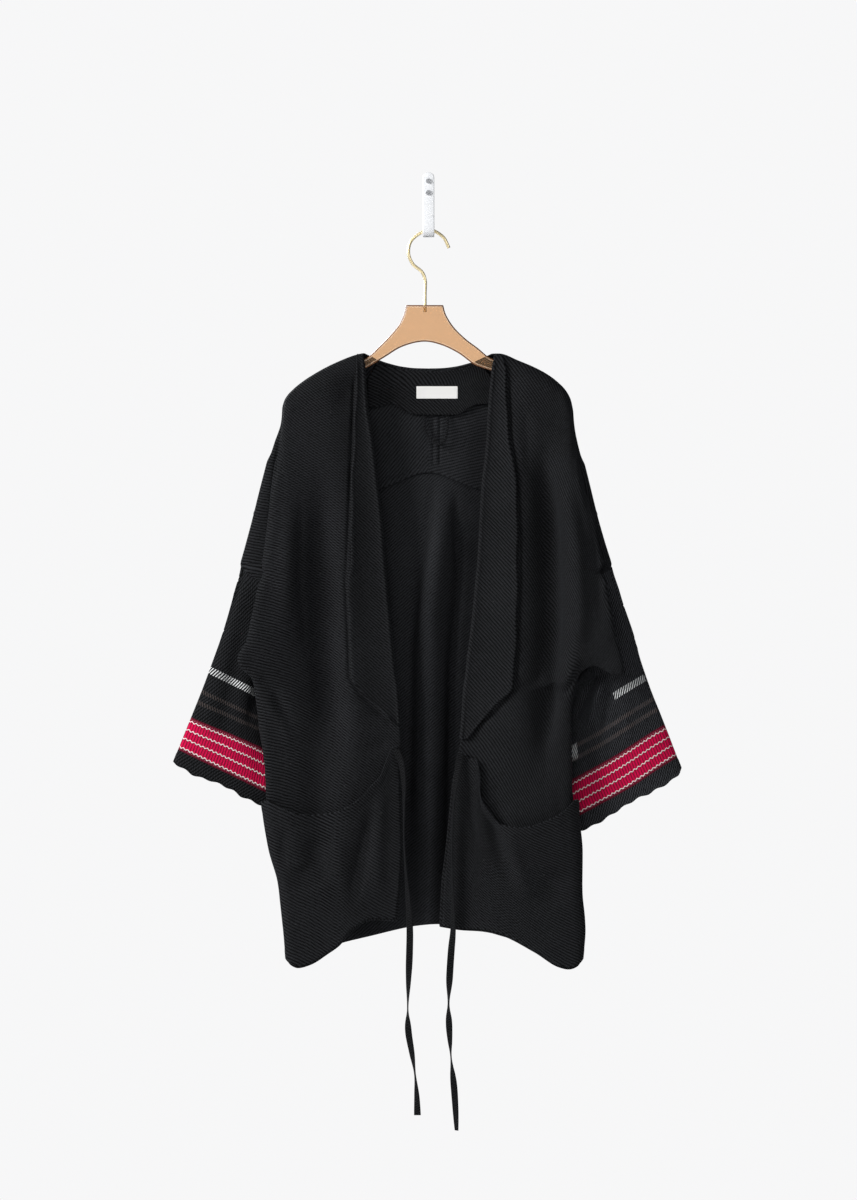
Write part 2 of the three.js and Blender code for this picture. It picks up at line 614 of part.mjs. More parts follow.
// A point that lies on the inside of the back, moved out of it by a distance.
function onBack(x, drop, distance) {
  const slopeX = (backOff(x + 1, drop) - backOff(x - 1, drop)) / 2;
  const slopeDrop = (backOff(x, drop + 1) - backOff(x, drop - 1)) / 2;
  const size = distance / Math.hypot(1, slopeX, slopeDrop);
  return place(x - slopeX * size, backOff(x, drop) + size, drop - slopeDrop * size);
}

function backNeckFacing() {
  const columns = 18;
  const grid = [];
  for (let i = 0; i <= 4; i += 1) {
    const row = [];
    for (let j = 0; j <= columns; j += 1) {
      const x = mix(-88, 90, j / columns) * mix(0.86, 1, ease(i / 2));
      const top = backTop(x) + 3;
      const drop = mix(top, read(facingEdge, 'drop', x), i / 4);
      row.push(onBack(x, drop, clothWall + 2 * lapGap + 1.5 * ease((drop - 290) / 30)));
    }
    grid.push(row);
  }
  return wallFromGrid(grid, clothWall);
}

const labelBox = { left: -17, right: 42, top: 284, bottom: 301 };

function label() {
  const grid = [0, 0.5, 1].map((v) => {
    const row = [];
    for (let j = 0; j <= 8; j += 1) {
      const x = mix(labelBox.left, labelBox.right, j / 8);
      const drop = mix(labelBox.top, labelBox.bottom, v);
      const facing = clothWall + 2 * lapGap + 1.5 * ease((drop - 290) / 30);
      row.push(onBack(x, drop, facing + (clothWall + labelWall) / 2 + lapGap));
    }
    return row;
  });
  return wallFromGrid(grid, labelWall);
}

const loopRoute = table(['x', 'off', 'drop', 'turn'], [
  [-6.5, 22.5, 326.5, 0], [-5, 22.5, 346, 0], [0, 23, 358, 0], [9, 23.5, 366, 0], [16, 23.5, 367.5, 0],
  [22, 23, 364, 0], [26.5, 22.5, 350, 0], [27.5, 22.5, 326.5, 0],
]);

// ---------- hanger and wall hook ----------
const hangerTop = table(['x', 'drop'], [
  [-188, 292], [-174, 282], [-136, 260], [-98, 248.5], [-86, 242], [-76, 231], [-55, 210], [-40, 193], [-32.6, 168],
]);
const hangerTopLeft = table(['x', 'drop'], [
  [21, 168], [33, 196], [54, 216], [76, 232], [86, 242], [98, 247.5], [130, 256], [167, 274], [184, 287],
]);
const hangerArch = table(['x', 'drop'], [
  [180, 296], [136, 276], [91, 262], [67, 254], [43, 236], [18, 225], [-6.5, 219.7], [-40, 227.7],
  [-64.5, 243.6], [-95, 261], [-140, 278], [-182, 298],
]);
const stemX = -5;
const stemEnds = 177;
const notchHalf = 3.4;

function hangerPlate() {
  const outline = [
    ...hangerTop.map((row) => new THREE.Vector2(row.x, -row.drop)),
    new THREE.Vector2(stemX - notchHalf - 1, -166.8),
    new THREE.Vector2(stemX - notchHalf, -stemEnds - 1),
    new THREE.Vector2(stemX + notchHalf, -stemEnds - 1),
    new THREE.Vector2(stemX + notchHalf + 1, -166.8),
    ...hangerTopLeft.map((row) => new THREE.Vector2(row.x, -row.drop)),
    ...hangerArch.map((row) => new THREE.Vector2(row.x, -row.drop)),
  ];
  const geometry = new THREE.ExtrudeGeometry(new THREE.Shape(outline), {
    depth: plateThick, bevelEnabled: false,
  });
  geometry.rotateX(Math.PI / 2);
  geometry.translate(0, -seamOff + plateThick / 2, 0);
  return plainSolid(geometry);
}

const wireRoute = table(['x', 'drop'], [
  [29.7, 84], [21, 68], [1, 58], [-24.5, 73], [-29, 91], [-23, 107], [-9.4, 119], [-5, 130], [-5, 150],
  [-5, stemEnds],
]);

function hangerHook() {
  const stops = wireRoute.map((row) => place(row.x, seamOff, row.drop));
  const shape = new THREE.Shape();
  shape.absarc(0, 0, hookWire / 2, 0, Math.PI * 2);
  return plainSolid(new THREE.ExtrudeGeometry(shape, {
    extrudePath: new THREE.CatmullRomCurve3(stops, false, 'centripetal'), steps: 36, curveSegments: 8,
  }));
}

// Strap: down the wall, out under the hanger's wire, and up again in a lip.
function wallHook() {
  const route = [
    [strapThick / 2, -29], [strapThick / 2, 48], [3, 57], [9, 63], [18, 65.5], [36, 66.5], [46, 66],
    [52, 61], [54, 53], [54, 38],
  ];
  const points = [];
  const faces = [];
  route.forEach(([off, drop], i) => {
    const [o0, d0] = route[Math.max(i - 1, 0)];
    const [o1, d1] = route[Math.min(i + 1, route.length - 1)];
    const length = Math.hypot(o1 - o0, d1 - d0);
    const turned = [-(d1 - d0) / length, (o1 - o0) / length];
    for (const [x, way] of [[-1, 1], [1, 1], [1, -1], [-1, -1]]) {
      const shift = (way * strapThick) / 2;
      points.push(place((x * strapWidth) / 2, off + turned[0] * shift, drop + turned[1] * shift));
    }
    if (i === 0) return;
    const a = (i - 1) * 4;
    const b = i * 4;
    for (let k = 0; k < 4; k += 1) {
      const n = (k + 1) % 4;
      faces.push([a + k, a + n, b + n], [a + k, b + n, b + k]);
    }
  });
  const end = (route.length - 1) * 4;
  faces.push([0, 2, 1], [0, 3, 2], [end, end + 1, end + 2], [end, end + 2, end + 3]);
  return solidFrom(points, faces);
}

function screwHead() {
  const geometry = new THREE.CylinderGeometry(3.2, 3.8, 1.6, 16);
  return plainSolid(geometry);
}

// ---------- the whole part ----------
const finishes = {
  twill: { color: 0x15161a, roughness: 0.85, metalness: 0 },
  label: { color: 0xf0efec, roughness: 0.8, metalness: 0 },
  acrylic: { color: 0xd9a27a, roughness: 0.15, metalness: 0 },
  gold: { color: 0xc9a557, roughness: 0.25, metalness: 1 },
  paint: { color: 0xf2f3f5, roughness: 0.4, metalness: 0 },
  steel: { color: 0xb9bcc0, roughness: 0.3, metalness: 1 },
};

const jacket = new THREE.Group();

function add(name, geometry, finish) {
  const mesh = new THREE.Mesh(geometry, new THREE.MeshStandardMaterial(finishes[finish]));
  mesh.name = name;
  jacket.add(mesh);
  return mesh;
}

for (const [name, side] of Object.entries(sides)) {
  add(`${name}_front`, frontPanel(side), 'twill');
  add(`${name}_sleeve`, sleeve(side), 'twill');
  add(`${name}_lapel`, lapel(side), 'twill');
  add(`${name}_pocket`, pocket(side), 'twill');
  add(`${name}_tie`, tape(side.sign, side.tie, tieWidth, trimWall, 3), 'twill');
  add(`back_yoke_${name}`, backYoke(side), 'twill');
}
add('back_body', backBody(), 'twill');
add('back_neck_facing', backNeckFacing(), 'twill');
add('label', label(), 'label');
add('hanging_loop', tape(1, loopRoute, 4, trimWall, 2), 'twill');
add('hanger_plate', hangerPlate(), 'acrylic');
add('hanger_hook', hangerHook(), 'gold');
add('wall_hook', wallHook(), 'paint');
for (const [name, z] of [['upper_screw', 16], ['lower_screw', -1]]) {
  const screw = add(name, screwHead(), 'steel');
  screw.position.set(0, -strapThick - 0.8 - 0.3, z);
}

export default jacket;
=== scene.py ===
import math

import bmesh
import bpy
import numpy as np
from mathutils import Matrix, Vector


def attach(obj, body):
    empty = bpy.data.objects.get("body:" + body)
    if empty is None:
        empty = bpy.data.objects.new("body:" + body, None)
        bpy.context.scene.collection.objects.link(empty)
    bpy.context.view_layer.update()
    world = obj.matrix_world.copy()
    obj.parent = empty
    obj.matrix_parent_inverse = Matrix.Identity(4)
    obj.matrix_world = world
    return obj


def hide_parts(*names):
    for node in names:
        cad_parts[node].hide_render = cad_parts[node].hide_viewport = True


# Chore jacket on an acrylic hanger and a wall hook.
# Tables are in millimetres: "drop" is the height below the origin, "off" the distance in front
# of the wall, and x runs to the right as the jacket is seen from the front.

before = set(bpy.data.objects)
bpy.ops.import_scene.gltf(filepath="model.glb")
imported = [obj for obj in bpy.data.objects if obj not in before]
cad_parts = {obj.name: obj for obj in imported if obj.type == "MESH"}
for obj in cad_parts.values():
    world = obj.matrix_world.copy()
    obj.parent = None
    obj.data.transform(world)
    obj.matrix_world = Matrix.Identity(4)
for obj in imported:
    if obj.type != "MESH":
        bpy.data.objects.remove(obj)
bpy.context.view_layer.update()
mm = 0.001
print("frame loaded")


# camera, lights and floor

view = {"distance": 8.0, "height": -0.5945, "tall": 1.740, "plane": 0.042}
sky = {"seen": (0.93, 0.93, 0.935), "light": (0.86, 0.93, 1.0), "strength": 0.085}
lamps = [
    {"name": "keyLight", "at": (-3.1, -1.75, 0.9), "aim": (0.0, 0.0, -0.6), "size": 1.5, "power": 168},
    {"name": "frontLight", "at": (-0.6, -3.7, 1.3), "aim": (0.0, 0.0, -0.6), "size": 1.5, "power": 30},
    {"name": "rightLight", "at": (2.3, -3.2, 0.9), "aim": (0.0, 0.0, -0.6), "size": 1.3, "power": 27},
    {"name": "backLight", "at": (-1.4, 3.2, 0.8), "aim": (0.0, 0.0, -0.6), "size": 2.0, "power": 110},
]
floorAt = {"height": -1.86, "x": 3.2, "near": -4.0, "far": 1.2}


def addPiece(name, data):
    piece = bpy.data.objects.new(name, data)
    bpy.context.collection.objects.link(piece)
    return piece


def addCamera():
    data = bpy.data.cameras.new("camera")
    camera = addPiece("camera", data)
    camera.location = (0, -view["distance"], view["height"])
    camera.rotation_euler = (math.radians(90), 0, 0)
    data.sensor_fit = "VERTICAL"
    reach = view["distance"] - view["plane"]
    data.angle = 2 * math.atan(view["tall"] / 2 / reach)
    data.clip_end = 50
    bpy.context.scene.camera = camera


def addLights():
    for lamp in lamps:
        data = bpy.data.lights.new(lamp["name"], "AREA")
        data.size = lamp["size"]
        data.energy = lamp["power"]
        light = addPiece(lamp["name"], data)
        light.location = lamp["at"]
        light.visible_transmission = False
        light.rotation_euler = (Vector(lamp["aim"]) - Vector(lamp["at"])).to_track_quat("-Z", "Y").to_euler()


addCamera()
addLights()
bpy.context.scene.view_settings.view_transform = "Standard"
print("camera and lights placed")


# small maths

def table(columns, rows):
    return dict(zip(columns.split(), np.array(rows, float).T))


def cubic(keys, values, tangents, at):
    # the curve through values at keys, with a given slope at each
    i = np.clip(np.searchsorted(keys, at, side="right") - 1, 0, len(keys) - 2)
    span = keys[i + 1] - keys[i]
    t = (at - keys[i]) / span
    rise = values[i + 1] - values[i]
    a, b = tangents[i] * span, tangents[i + 1] * span
    return values[i] + a * t + (3 * rise - 2 * a - b) * t ** 2 + (a + b - 2 * rise) * t ** 3


def read(rows, column, at, key=None):
    # smooth value of one column, by the first column or by key, with no overshoot between rows
    keys = rows[key or next(iter(rows))]
    slopes = np.diff(rows[column]) / np.diff(keys)
    before, after = slopes[:-1], slopes[1:]
    onward = before * after > 0
    inner = np.where(onward, 2 * before * after / np.where(onward, before + after, 1), 0)
    tangents = np.concatenate([slopes[:1], inner, slopes[-1:]])
    return cubic(keys, rows[column], tangents, np.clip(at, keys[0], keys[-1]))


def stepsAlong(line):
    return np.linalg.norm(np.diff(line, axis=0), axis=1)


def summed(steps):
    return np.concatenate([[0], np.cumsum(steps)])


def mix(a, b, t):
    return a + (b - a) * t


def ease(t):
    c = np.clip(t, 0, 1)
    return c * c * (3 - 2 * c)


def inside(value, low, softLow, high, softHigh):
    # 1 well between low and high, easing to 0 at both
    return ease((value - low) / softLow) * ease((high - value) / softHigh)


def roundOver(distance, radius):
    t = np.clip(distance / radius, 0, 1)
    return np.sqrt(1 - (1 - t) ** 2)


def spline(points, t):
    # uniform cubic B-spline with held ends; points is a list of arrays, t an array from 0 to 1
    held = np.stack([points[0], points[0], *points, points[-1], points[-1]])
    spans = len(held) - 3
    at = np.clip(t, 0, 1) * spans
    i = np.minimum(at.astype(int), spans - 1)
    u = at - i
    weights = [(1 - u) ** 3 / 6, (3 * u ** 3 - 6 * u * u + 4) / 6,
               (-3 * u ** 3 + 3 * u * u + 3 * u + 1) / 6, u ** 3 / 6]
    return sum(w * np.take_along_axis(held, (i + k)[None], 0)[0] for k, w in enumerate(weights))


def place(x, off, drop):
    x, off, drop = np.broadcast_arrays(x, off, drop)
    return np.stack([x, -off, -drop], axis=-1).astype(float)


def seen(grid):
    # x and drop of each point
    return grid[..., 0], -grid[..., 2]


def unit(vectors):
    size = np.linalg.norm(vectors, axis=-1, keepdims=True)
    return vectors / np.maximum(size, 1e-9)


def lineDistance(line, x, drop):
    # distance from each point to a line of (x, drop) stops, and how far along the line it is, 0 to 1
    stops = np.array(line, float)
    lengths = np.hypot(*np.diff(stops, axis=0).T)
    starts = summed(lengths)
    best = np.full(np.shape(x), 1e9)
    along = np.zeros(np.shape(x))
    for k, length in enumerate(lengths):
        way = (stops[k + 1] - stops[k]) / length
        t = np.clip((x - stops[k, 0]) * way[0] + (drop - stops[k, 1]) * way[1], 0, length)
        away = np.hypot(x - stops[k, 0] - way[0] * t, drop - stops[k, 1] - way[1] * t)
        nearer = away < best
        best = np.where(nearer, away, best)
        along = np.where(nearer, (starts[k] + t) / starts[-1], along)
    return best, along


def creasePush(creases, x, drop):
    # soft troughs and ridges
    push = np.zeros(np.shape(x))
    for line, width, depth, start, end in creases:
        away, along = lineDistance(line, x, drop)
        push += depth * np.exp(-(away / width) ** 2) * inside(along, 0, start, 1, end)
    return push


def unevenness(x, drop, size, seed):
    # slow waves that keep a large surface from being perfectly even
    wave = np.zeros(np.shape(x))
    for k in range(1, 6):
        turn = seed * 1.7 + k * 2.4
        a = math.cos(turn) / (26 + 17 * k)
        b = math.sin(turn) / (26 + 17 * k)
        wave += np.sin(x * a * 2 + drop * b * 2 + turn * 3) * math.sqrt(k) / 5
    return wave * size


# the jacket's surfaces, before its creases

cloth = {"wall": 2.0, "trim": 1.6, "label": 1.0, "lap": 0.5, "halfGap": 0.2}
seamOff = 42
neckDrop = 237
shoulderRound = 26
slopeEnds = 490
hemLevel = 1060
hemCurveStarts = 860
hemWidth = 22
yokeDrop = 402
panelShare = 0.5
turnWidth = 16
seamSteps = 8
foldFade = 120
foldColumns = "x from to width push"
sideTables = {
    "shoulder": "x drop",
    "sections": "drop edge ridge tuck outer outerOff",
    "depths": "drop edgeOff midOff ridgeOff tuckOff sleeveOff",
    "folds": foldColumns,
    "hem": "x drop",
    "seam": "step x backX drop frontOff backOff",
    "sleeve": "along topX topDrop topOff underX underDrop underOff half",
    "lapel": "drop free",
    "pocket": "x drop",
    "tie": "x off drop turn",
}

right = {   # the wearer's right, on the left as seen
    "sign": -1,
    "shoulder": [
        [92, 237], [102, 239], [136, 252], [174, 273], [196, 290], [207, 303], [212, 317]],
    "sections": [
        [237, 96, 204, 207, 209, 42], [317, 91, 206, 209, 212, 42], [355, 85, 215, 215, 223, 42],
        [431, 76, 226, 220, 243, 42], [483, 70, 231, 220, 256, 42], [548, 65, 239, 221, 274, 42],
        [556, 64, 240.5, 222.5, 276.6, 42],
        [600, 60, 250, 231, 219, 60], [652, 55, 262, 240, 214, 58], [681, 52, 276, 256, 227, 48],
        [700, 50, 266, 256, 241, 41], [715, 47, 255, 252, 246, 44], [754, 44, 248, 247, 245, 50],
        [834, 40, 235, 234, 232, 50], [896, 38, 232, 231, 229, 50], [951, 37, 225, 224, 222, 50],
        [1003, 40, 212, 211, 209, 50], [1057, 45, 206, 205, 203, 50], [1125, 45, 199, 198, 196, 50]],
    "depths": [
        [237, 50, 57, 55, 51, 48], [317, 52, 60, 58, 52, 49], [420, 53, 63, 64, 54, 51],
        [548, 54, 66, 74, 62, 56], [600, 55, 67, 79, 69, 60], [652, 56, 68, 82, 70, 60],
        [681, 56, 68, 81, 68, 54], [700, 56, 67, 78, 62, 46], [740, 56, 66, 70, 58, 52],
        [820, 57, 66, 68, 58, 54], [950, 58, 68, 70, 58, 54], [1125, 58, 70, 72, 58, 54]],
    "folds": [
        [157, 440, 1010, 26, -8], [208, 330, 700, 20, 4], [112, 640, 900, 22, 3], [101, 905, 1040, 14, -8]],
    "hem": [
        [44, 1058], [80, 1056], [111, 1071], [128, 1092], [146, 1105], [170, 1120], [189, 1125],
        [199, 1121], [206, 1108]],
    "seam": [
        [0, 274, 274, 548, 42, 42], [1, 259, 260, 557, 53, 28], [2, 244, 249, 567, 57, 22],
        [3, 232, 242, 579, 59, 19], [4, 221, 237, 597, 60, 17], [5, 214, 236, 622, 60, 17],
        [6, 214, 236, 650, 58, 19], [7, 223, 238, 676, 52, 25], [8, 241, 241, 700, 41, 41]],
    "sleeve": [
        [0, 274, 548, 42, 241, 700, 38, 16], [0.04, 276, 558, 40, 257, 706, 28, 12],
        [0.1, 280, 573, 37, 249, 722, 19, 10], [0.3, 293, 622, 36, 236, 764, 16, 13],
        [0.6, 320, 706, 36, 225, 832, 15, 15], [1, 369, 829, 30, 211, 908, 14, 13]],
    "lapel": [
        [241, 101], [278, 103], [355, 107], [431, 110], [544, 114], [563, 116], [647, 112], [708, 110],
        [726, 95], [751, 70], [774, 49]],
    "pocket": [
        [48, 806], [54, 812], [63, 832], [70, 848], [85, 864], [112, 890], [140, 904], [173, 907],
        [201, 902], [228, 886]],
    "tie": [
        [47, 68, 811, 0], [40, 72, 828, 20], [36, 73, 856, 50], [35.5, 73, 900, 75], [35.5, 73, 936, 80],
        [33, 73, 985, 70], [29, 73, 1035, 40], [27, 72, 1071, 15], [27.5, 70, 1106, 5], [29, 67, 1146, 45],
        [30, 65, 1185, 85], [29, 63, 1219, 15], [24, 61, 1250, 40], [19.6, 60, 1280, 80],
        [17, 59, 1310, 45], [16, 58, 1340, 10]],
}

left = {
    "sign": 1,
    "shoulder": [
        [91, 238], [102, 238], [130, 248], [167, 265], [194, 286], [205, 303], [209, 320]],
    "sections": [
        [237, 97, 201, 204, 206, 42], [317, 90, 204, 207, 210, 42], [368, 87, 213, 213, 219, 42],
        [431, 80, 225, 219, 234, 42], [483, 77, 238, 224, 247, 42], [548, 73, 251, 230, 267, 42],
        [556, 72, 252.4, 230.7, 270, 42],
        [600, 68, 259, 234, 214, 60], [652, 62, 269, 236, 205, 58], [681, 58, 278, 240, 206, 48],
        [703, 56, 282, 236, 213, 41], [709, 55, 279, 232, 213, 43], [717, 54, 250, 224, 211, 45],
        [726, 53, 212, 210, 208, 47], [745, 52, 207, 206, 204, 48], [795, 48, 205, 204, 202, 50],
        [861, 35, 205, 204, 202, 50], [911, 30, 209, 208, 206, 50], [961, 25, 215, 214, 212, 50],
        [1016, 19, 216, 215, 213, 50], [1082, 17, 221, 220, 218, 50], [1125, 17, 216, 215, 213, 50]],
    "depths": [
        [237, 50, 57, 55, 51, 48], [317, 52, 60, 58, 52, 49], [420, 53, 63, 66, 54, 51],
        [548, 54, 65, 77, 63, 56], [600, 55, 66, 82, 70, 60], [652, 56, 66, 85, 72, 60],
        [681, 56, 66, 85, 71, 54], [700, 56, 66, 84, 68, 46], [720, 56, 66, 76, 60, 50],
        [745, 56, 66, 69, 58, 53], [820, 57, 66, 68, 58, 54], [950, 58, 68, 70, 58, 54],
        [1125, 58, 70, 72, 58, 54]],
    "folds": [
        [168, 330, 880, 20, -13], [206, 340, 700, 16, 3], [100, 830, 1030, 18, -8], [136, 960, 1090, 20, 4]],
    "hem": [
        [16, 1066], [50, 1071], [73, 1072], [102, 1077], [153, 1102], [189, 1124], [203, 1127],
        [215, 1123], [221, 1112]],
    "seam": [
        [0, 268, 268, 548, 42, 42], [1, 255, 257, 554, 53, 28], [2, 242, 246, 562, 57, 22],
        [3, 229, 236, 575, 59, 19], [4, 217, 226, 594, 60, 17], [5, 209, 218, 620, 60, 17],
        [6, 205, 212, 650, 58, 19], [7, 206, 210, 679, 52, 25], [8, 213, 213, 703, 41, 41]],
    "sleeve": [
        [0, 268, 548, 42, 213, 703, 38, 16], [0.04, 271, 560, 40, 217, 708, 29, 12],
        [0.1, 277, 578, 36, 211.5, 722, 19, 9], [0.18, 284, 602, 34, 206.5, 746, 16, 9],
        [0.3, 296, 638, 35, 203.5, 778, 16, 12], [0.6, 320, 714, 35, 199, 846, 15, 15],
        [1, 366, 838, 30, 208, 926, 15, 13]],
    "lapel": [
        [241, 103], [265, 110], [307, 112], [345, 114], [393, 121], [468, 127], [544, 129], [618, 126],
        [721, 121], [746, 97], [771, 75], [795, 56]],
    "pocket": [
        [46, 816], [53, 824], [66, 826], [75, 846], [81, 885], [94, 906], [114, 921], [133, 924],
        [172, 912], [194, 899], [205, 885]],
    "tie": [
        [47, 68, 816, 0], [41, 72, 848, 30], [38, 73, 870, 60], [35.5, 73, 900, 78], [34, 73, 942, 80],
        [34, 73, 985, 75], [35, 73, 1030, 65], [35.5, 72, 1071, 40], [33, 70, 1100, 10], [31, 68, 1130, 0],
        [29, 66, 1177, 80], [29.7, 64, 1208, 20], [31, 62, 1232, 50], [32.6, 61, 1256, 85],
        [37, 60, 1300, 15], [39, 59, 1330, 30], [40.6, 58, 1362, 60]],
}

for side in (right, left):
    for name, columns in sideTables.items():
        side[name] = table(columns, side[name])

backDepths = table("drop centreOff sideOff", [
    [237, 24, 26], [317, 18, 22], [420, 14, 16], [548, 13, 14], [660, 12, 18], [685, 12, 32],
    [697, 12, 39], [740, 12, 40], [860, 12, 39], [1125, 12, 38]])
backNeck = table("x drop", [[0, 259], [18, 258.6], [38, 256.4], [58, 251.6], [76, 245.4], [92, 238]])
backHem = table("x drop", [
    [-205, 1104], [-190, 1112], [-131, 1093], [-89, 1083], [-38, 1071], [8, 1064], [40, 1067],
    [120, 1086], [190, 1112], [218, 1104]])
backFolds = table(foldColumns, [
    [2, 404, 1300, 22, 19], [-29, 440, 1300, 11, -6], [33, 420, 1300, 10, -5], [60, 430, 1300, 24, -5],
    [-70, 560, 1300, 30, 5], [-150, 640, 1300, 26, -4], [110, 600, 1300, 30, 5], [160, 700, 1300, 24, -4]])
backBend = table("drop x", [[404, 20], [440, 18], [500, 13], [560, 6], [640, 0], [1300, -2]])


def foldPush(folds, x, drop):
    push = 0
    for foldX, start, end, width, depth in zip(*folds.values()):
        fade = inside(drop, start, foldFade, end, foldFade)
        push = push + depth * np.exp(-((x - foldX) / width) ** 2) * fade
    return push


def slopeShare(level):
    return 1 - ease((level - neckDrop) / (slopeEnds - neckDrop))


def hemShare(level):
    return ease((level - hemCurveStarts) / (hemLevel - hemCurveStarts))


def frontDrop(side, level, x):
    shoulder = (read(side["shoulder"], "drop", x) - neckDrop) * slopeShare(level)
    hem = (read(side["hem"], "drop", x) - hemLevel) * hemShare(level)
    return level + shoulder + hem


def frontOff(side, x, drop):
    edge = read(side["sections"], "edge", drop)
    ridge = sum(read(side["sections"], "ridge", drop + d) for d in (-40, -27, -13, 0, 13, 27, 40)) / 7
    deep = {name: read(side["depths"], name, drop) for name in ("edgeOff", "midOff", "ridgeOff")}
    u = np.clip((x - edge) / (ridge - edge), 0, 1)
    inner = mix(deep["edgeOff"], deep["midOff"], ease(u * 2))
    outer = mix(deep["midOff"], deep["ridgeOff"], ease(u * 2 - 1))
    off = np.where(u < 0.5, inner, outer) + foldPush(side["folds"], x, drop)
    below = drop - read(side["shoulder"], "drop", x)
    return mix(seamOff + cloth["halfGap"], off, roundOver(below, shoulderRound))


def outerEdge(side, level, reach, xName, offName):
    # where a row ends: on the armhole beside the sleeve, or else on the side seam
    seam = side["seam"]
    atArmhole = (level >= seam["drop"][0]) & (level <= seam["drop"][-1])
    x = np.where(atArmhole, read(seam, xName, level, "drop"), read(side["sections"], "outer", reach))
    off = np.where(atArmhole, read(seam, offName, level, "drop"),
                   read(side["sections"], "outerOff", reach))
    return x, off


def frontPoint(side, level, share):
    level, share = np.broadcast_arrays(np.asarray(level, float), np.asarray(share, float))
    sideX = read(side["sections"], "ridge", np.maximum(level, 317))
    reach = frontDrop(side, level, sideX)
    ridge = read(side["sections"], "ridge", reach)
    edge = read(side["sections"], "edge", frontDrop(side, level, 60))
    x = mix(edge, ridge - turnWidth, np.clip(share / panelShare, 0, 1))
    drop = frontDrop(side, level, x)
    off = frontOff(side, x, drop)
    # beyond the flat panel: round the ridge, into the tuck and out again
    tuck = read(side["sections"], "tuck", reach)
    outer, outerOff = outerEdge(side, level, reach, "x", "frontOff")
    outerOff = outerOff + cloth["halfGap"]
    over = roundOver(level - neckDrop, shoulderRound)
    tuckOff = np.maximum(mix(seamOff, read(side["depths"], "tuckOff", reach), over), outerOff)
    sleeveOff = np.maximum(mix(seamOff, read(side["depths"], "sleeveOff", reach), over), outerOff)
    start = ridge - turnWidth
    startOff = frontOff(side, start, frontDrop(side, level, start))
    turn = np.clip((share - panelShare) / (1 - panelShare), 0, 1)
    turnX = spline([start, ridge - 7, ridge + 2, ridge + 2, mix(ridge, tuck, 0.6), tuck,
                    mix(tuck, outer, 0.4), mix(tuck, outer, 0.85), outer, outer], turn)
    turnOff = spline([startOff, startOff + 1, mix(startOff, tuckOff, 0.15), mix(startOff, tuckOff, 0.7),
                      tuckOff, mix(tuckOff, sleeveOff, 0.5), sleeveOff, sleeveOff,
                      mix(sleeveOff, outerOff, 0.5), outerOff], turn)
    turned = share > panelShare
    x = np.where(turned, turnX, x)
    off = np.where(turned, turnOff, off)
    drop = np.where(turned, frontDrop(side, level, turnX), drop)
    return place(side["sign"] * x, off, drop)


def frontNormal(side, level, share):
    across = frontPoint(side, level, share + 0.01) - frontPoint(side, level, share - 0.01)
    down = frontPoint(side, level + 2, share) - frontPoint(side, level - 2, share)
    return unit(np.cross(across, down)) * -side["sign"]


def levelAt(side, x, drop):
    level = np.array(drop, float)
    for _ in range(12):
        level = level + drop - frontDrop(side, level, x)
    return level


def bySide(x, rows, column, at):
    return np.where(x < 0, read(right[rows], column, at), read(left[rows], column, at))


def backTop(x):
    half = np.abs(x)
    shoulder = bySide(x, "shoulder", "drop", half)
    inner = np.where(x < 0, right["shoulder"]["x"][0], left["shoulder"]["x"][0])
    return np.where(half < inner, read(backNeck, "drop", half), shoulder)


def backOff(x, drop):
    half = np.abs(x)
    reach = bySide(x, "sections", "ridge", drop)
    sideShare = ease((half - (reach - 120)) / 100)
    plain = mix(read(backDepths, "centreOff", drop), read(backDepths, "sideOff", drop), sideShare)
    bend = read(backBend, "x", drop)
    off = plain + foldPush(backFolds, x - bend, drop) * (1 - sideShare)
    neckLift = 10 * (1 - ease((half - 60) / 32))
    return mix(seamOff, off, roundOver(drop - backTop(x) + neckLift, shoulderRound + 4))


def backDrop(level, x):
    top = (backTop(x) - neckDrop) * slopeShare(level)
    hem = (read(backHem, "drop", x) - hemLevel) * hemShare(level)
    half = np.abs(x)
    dip = 30 * ease(half / 90) + 16 * ease((half - 90) / 130)
    dipShare = np.where(level < yokeDrop, ease((level - 270) / (yokeDrop - 270)), ease((540 - level) / 138))
    return level + top + hem + dip * dipShare


backTurn = {"share": 0.8, "width": 22}


def backPoint(side, level, share, centre=0.0):
    # share 0 is the centre of the back, 1 the side seam
    level, share = np.broadcast_arrays(np.asarray(level, float), np.asarray(share, float))
    sign = side["sign"]
    sideX = read(side["sections"], "ridge", np.maximum(level, 317))
    reach = backDrop(level, sign * sideX)
    outer, outerOff = outerEdge(side, level, reach, "backX", "backOff")
    outerOff = outerOff - cloth["halfGap"]
    turnStart = outer - backTurn["width"]
    x = mix(centre, turnStart, np.clip(share / backTurn["share"], 0, 1))
    drop = backDrop(level, sign * x)
    limit = outerOff + 60 * (1 - ease((x - turnStart + 90) / 70))
    off = np.minimum(backOff(sign * x, drop), limit)
    startOff = np.minimum(backOff(sign * turnStart, backDrop(level, sign * turnStart)), outerOff)
    angle = np.clip((share - backTurn["share"]) / (1 - backTurn["share"]), 0, 1) * math.pi / 2
    turned = share > backTurn["share"]
    turnX = mix(turnStart, outer, np.sin(angle))
    x = np.where(turned, turnX, x)
    off = np.where(turned, mix(outerOff, startOff, np.cos(angle)), off)
    drop = np.where(turned, backDrop(level, sign * turnX), drop)
    return place(sign * x, off, drop)


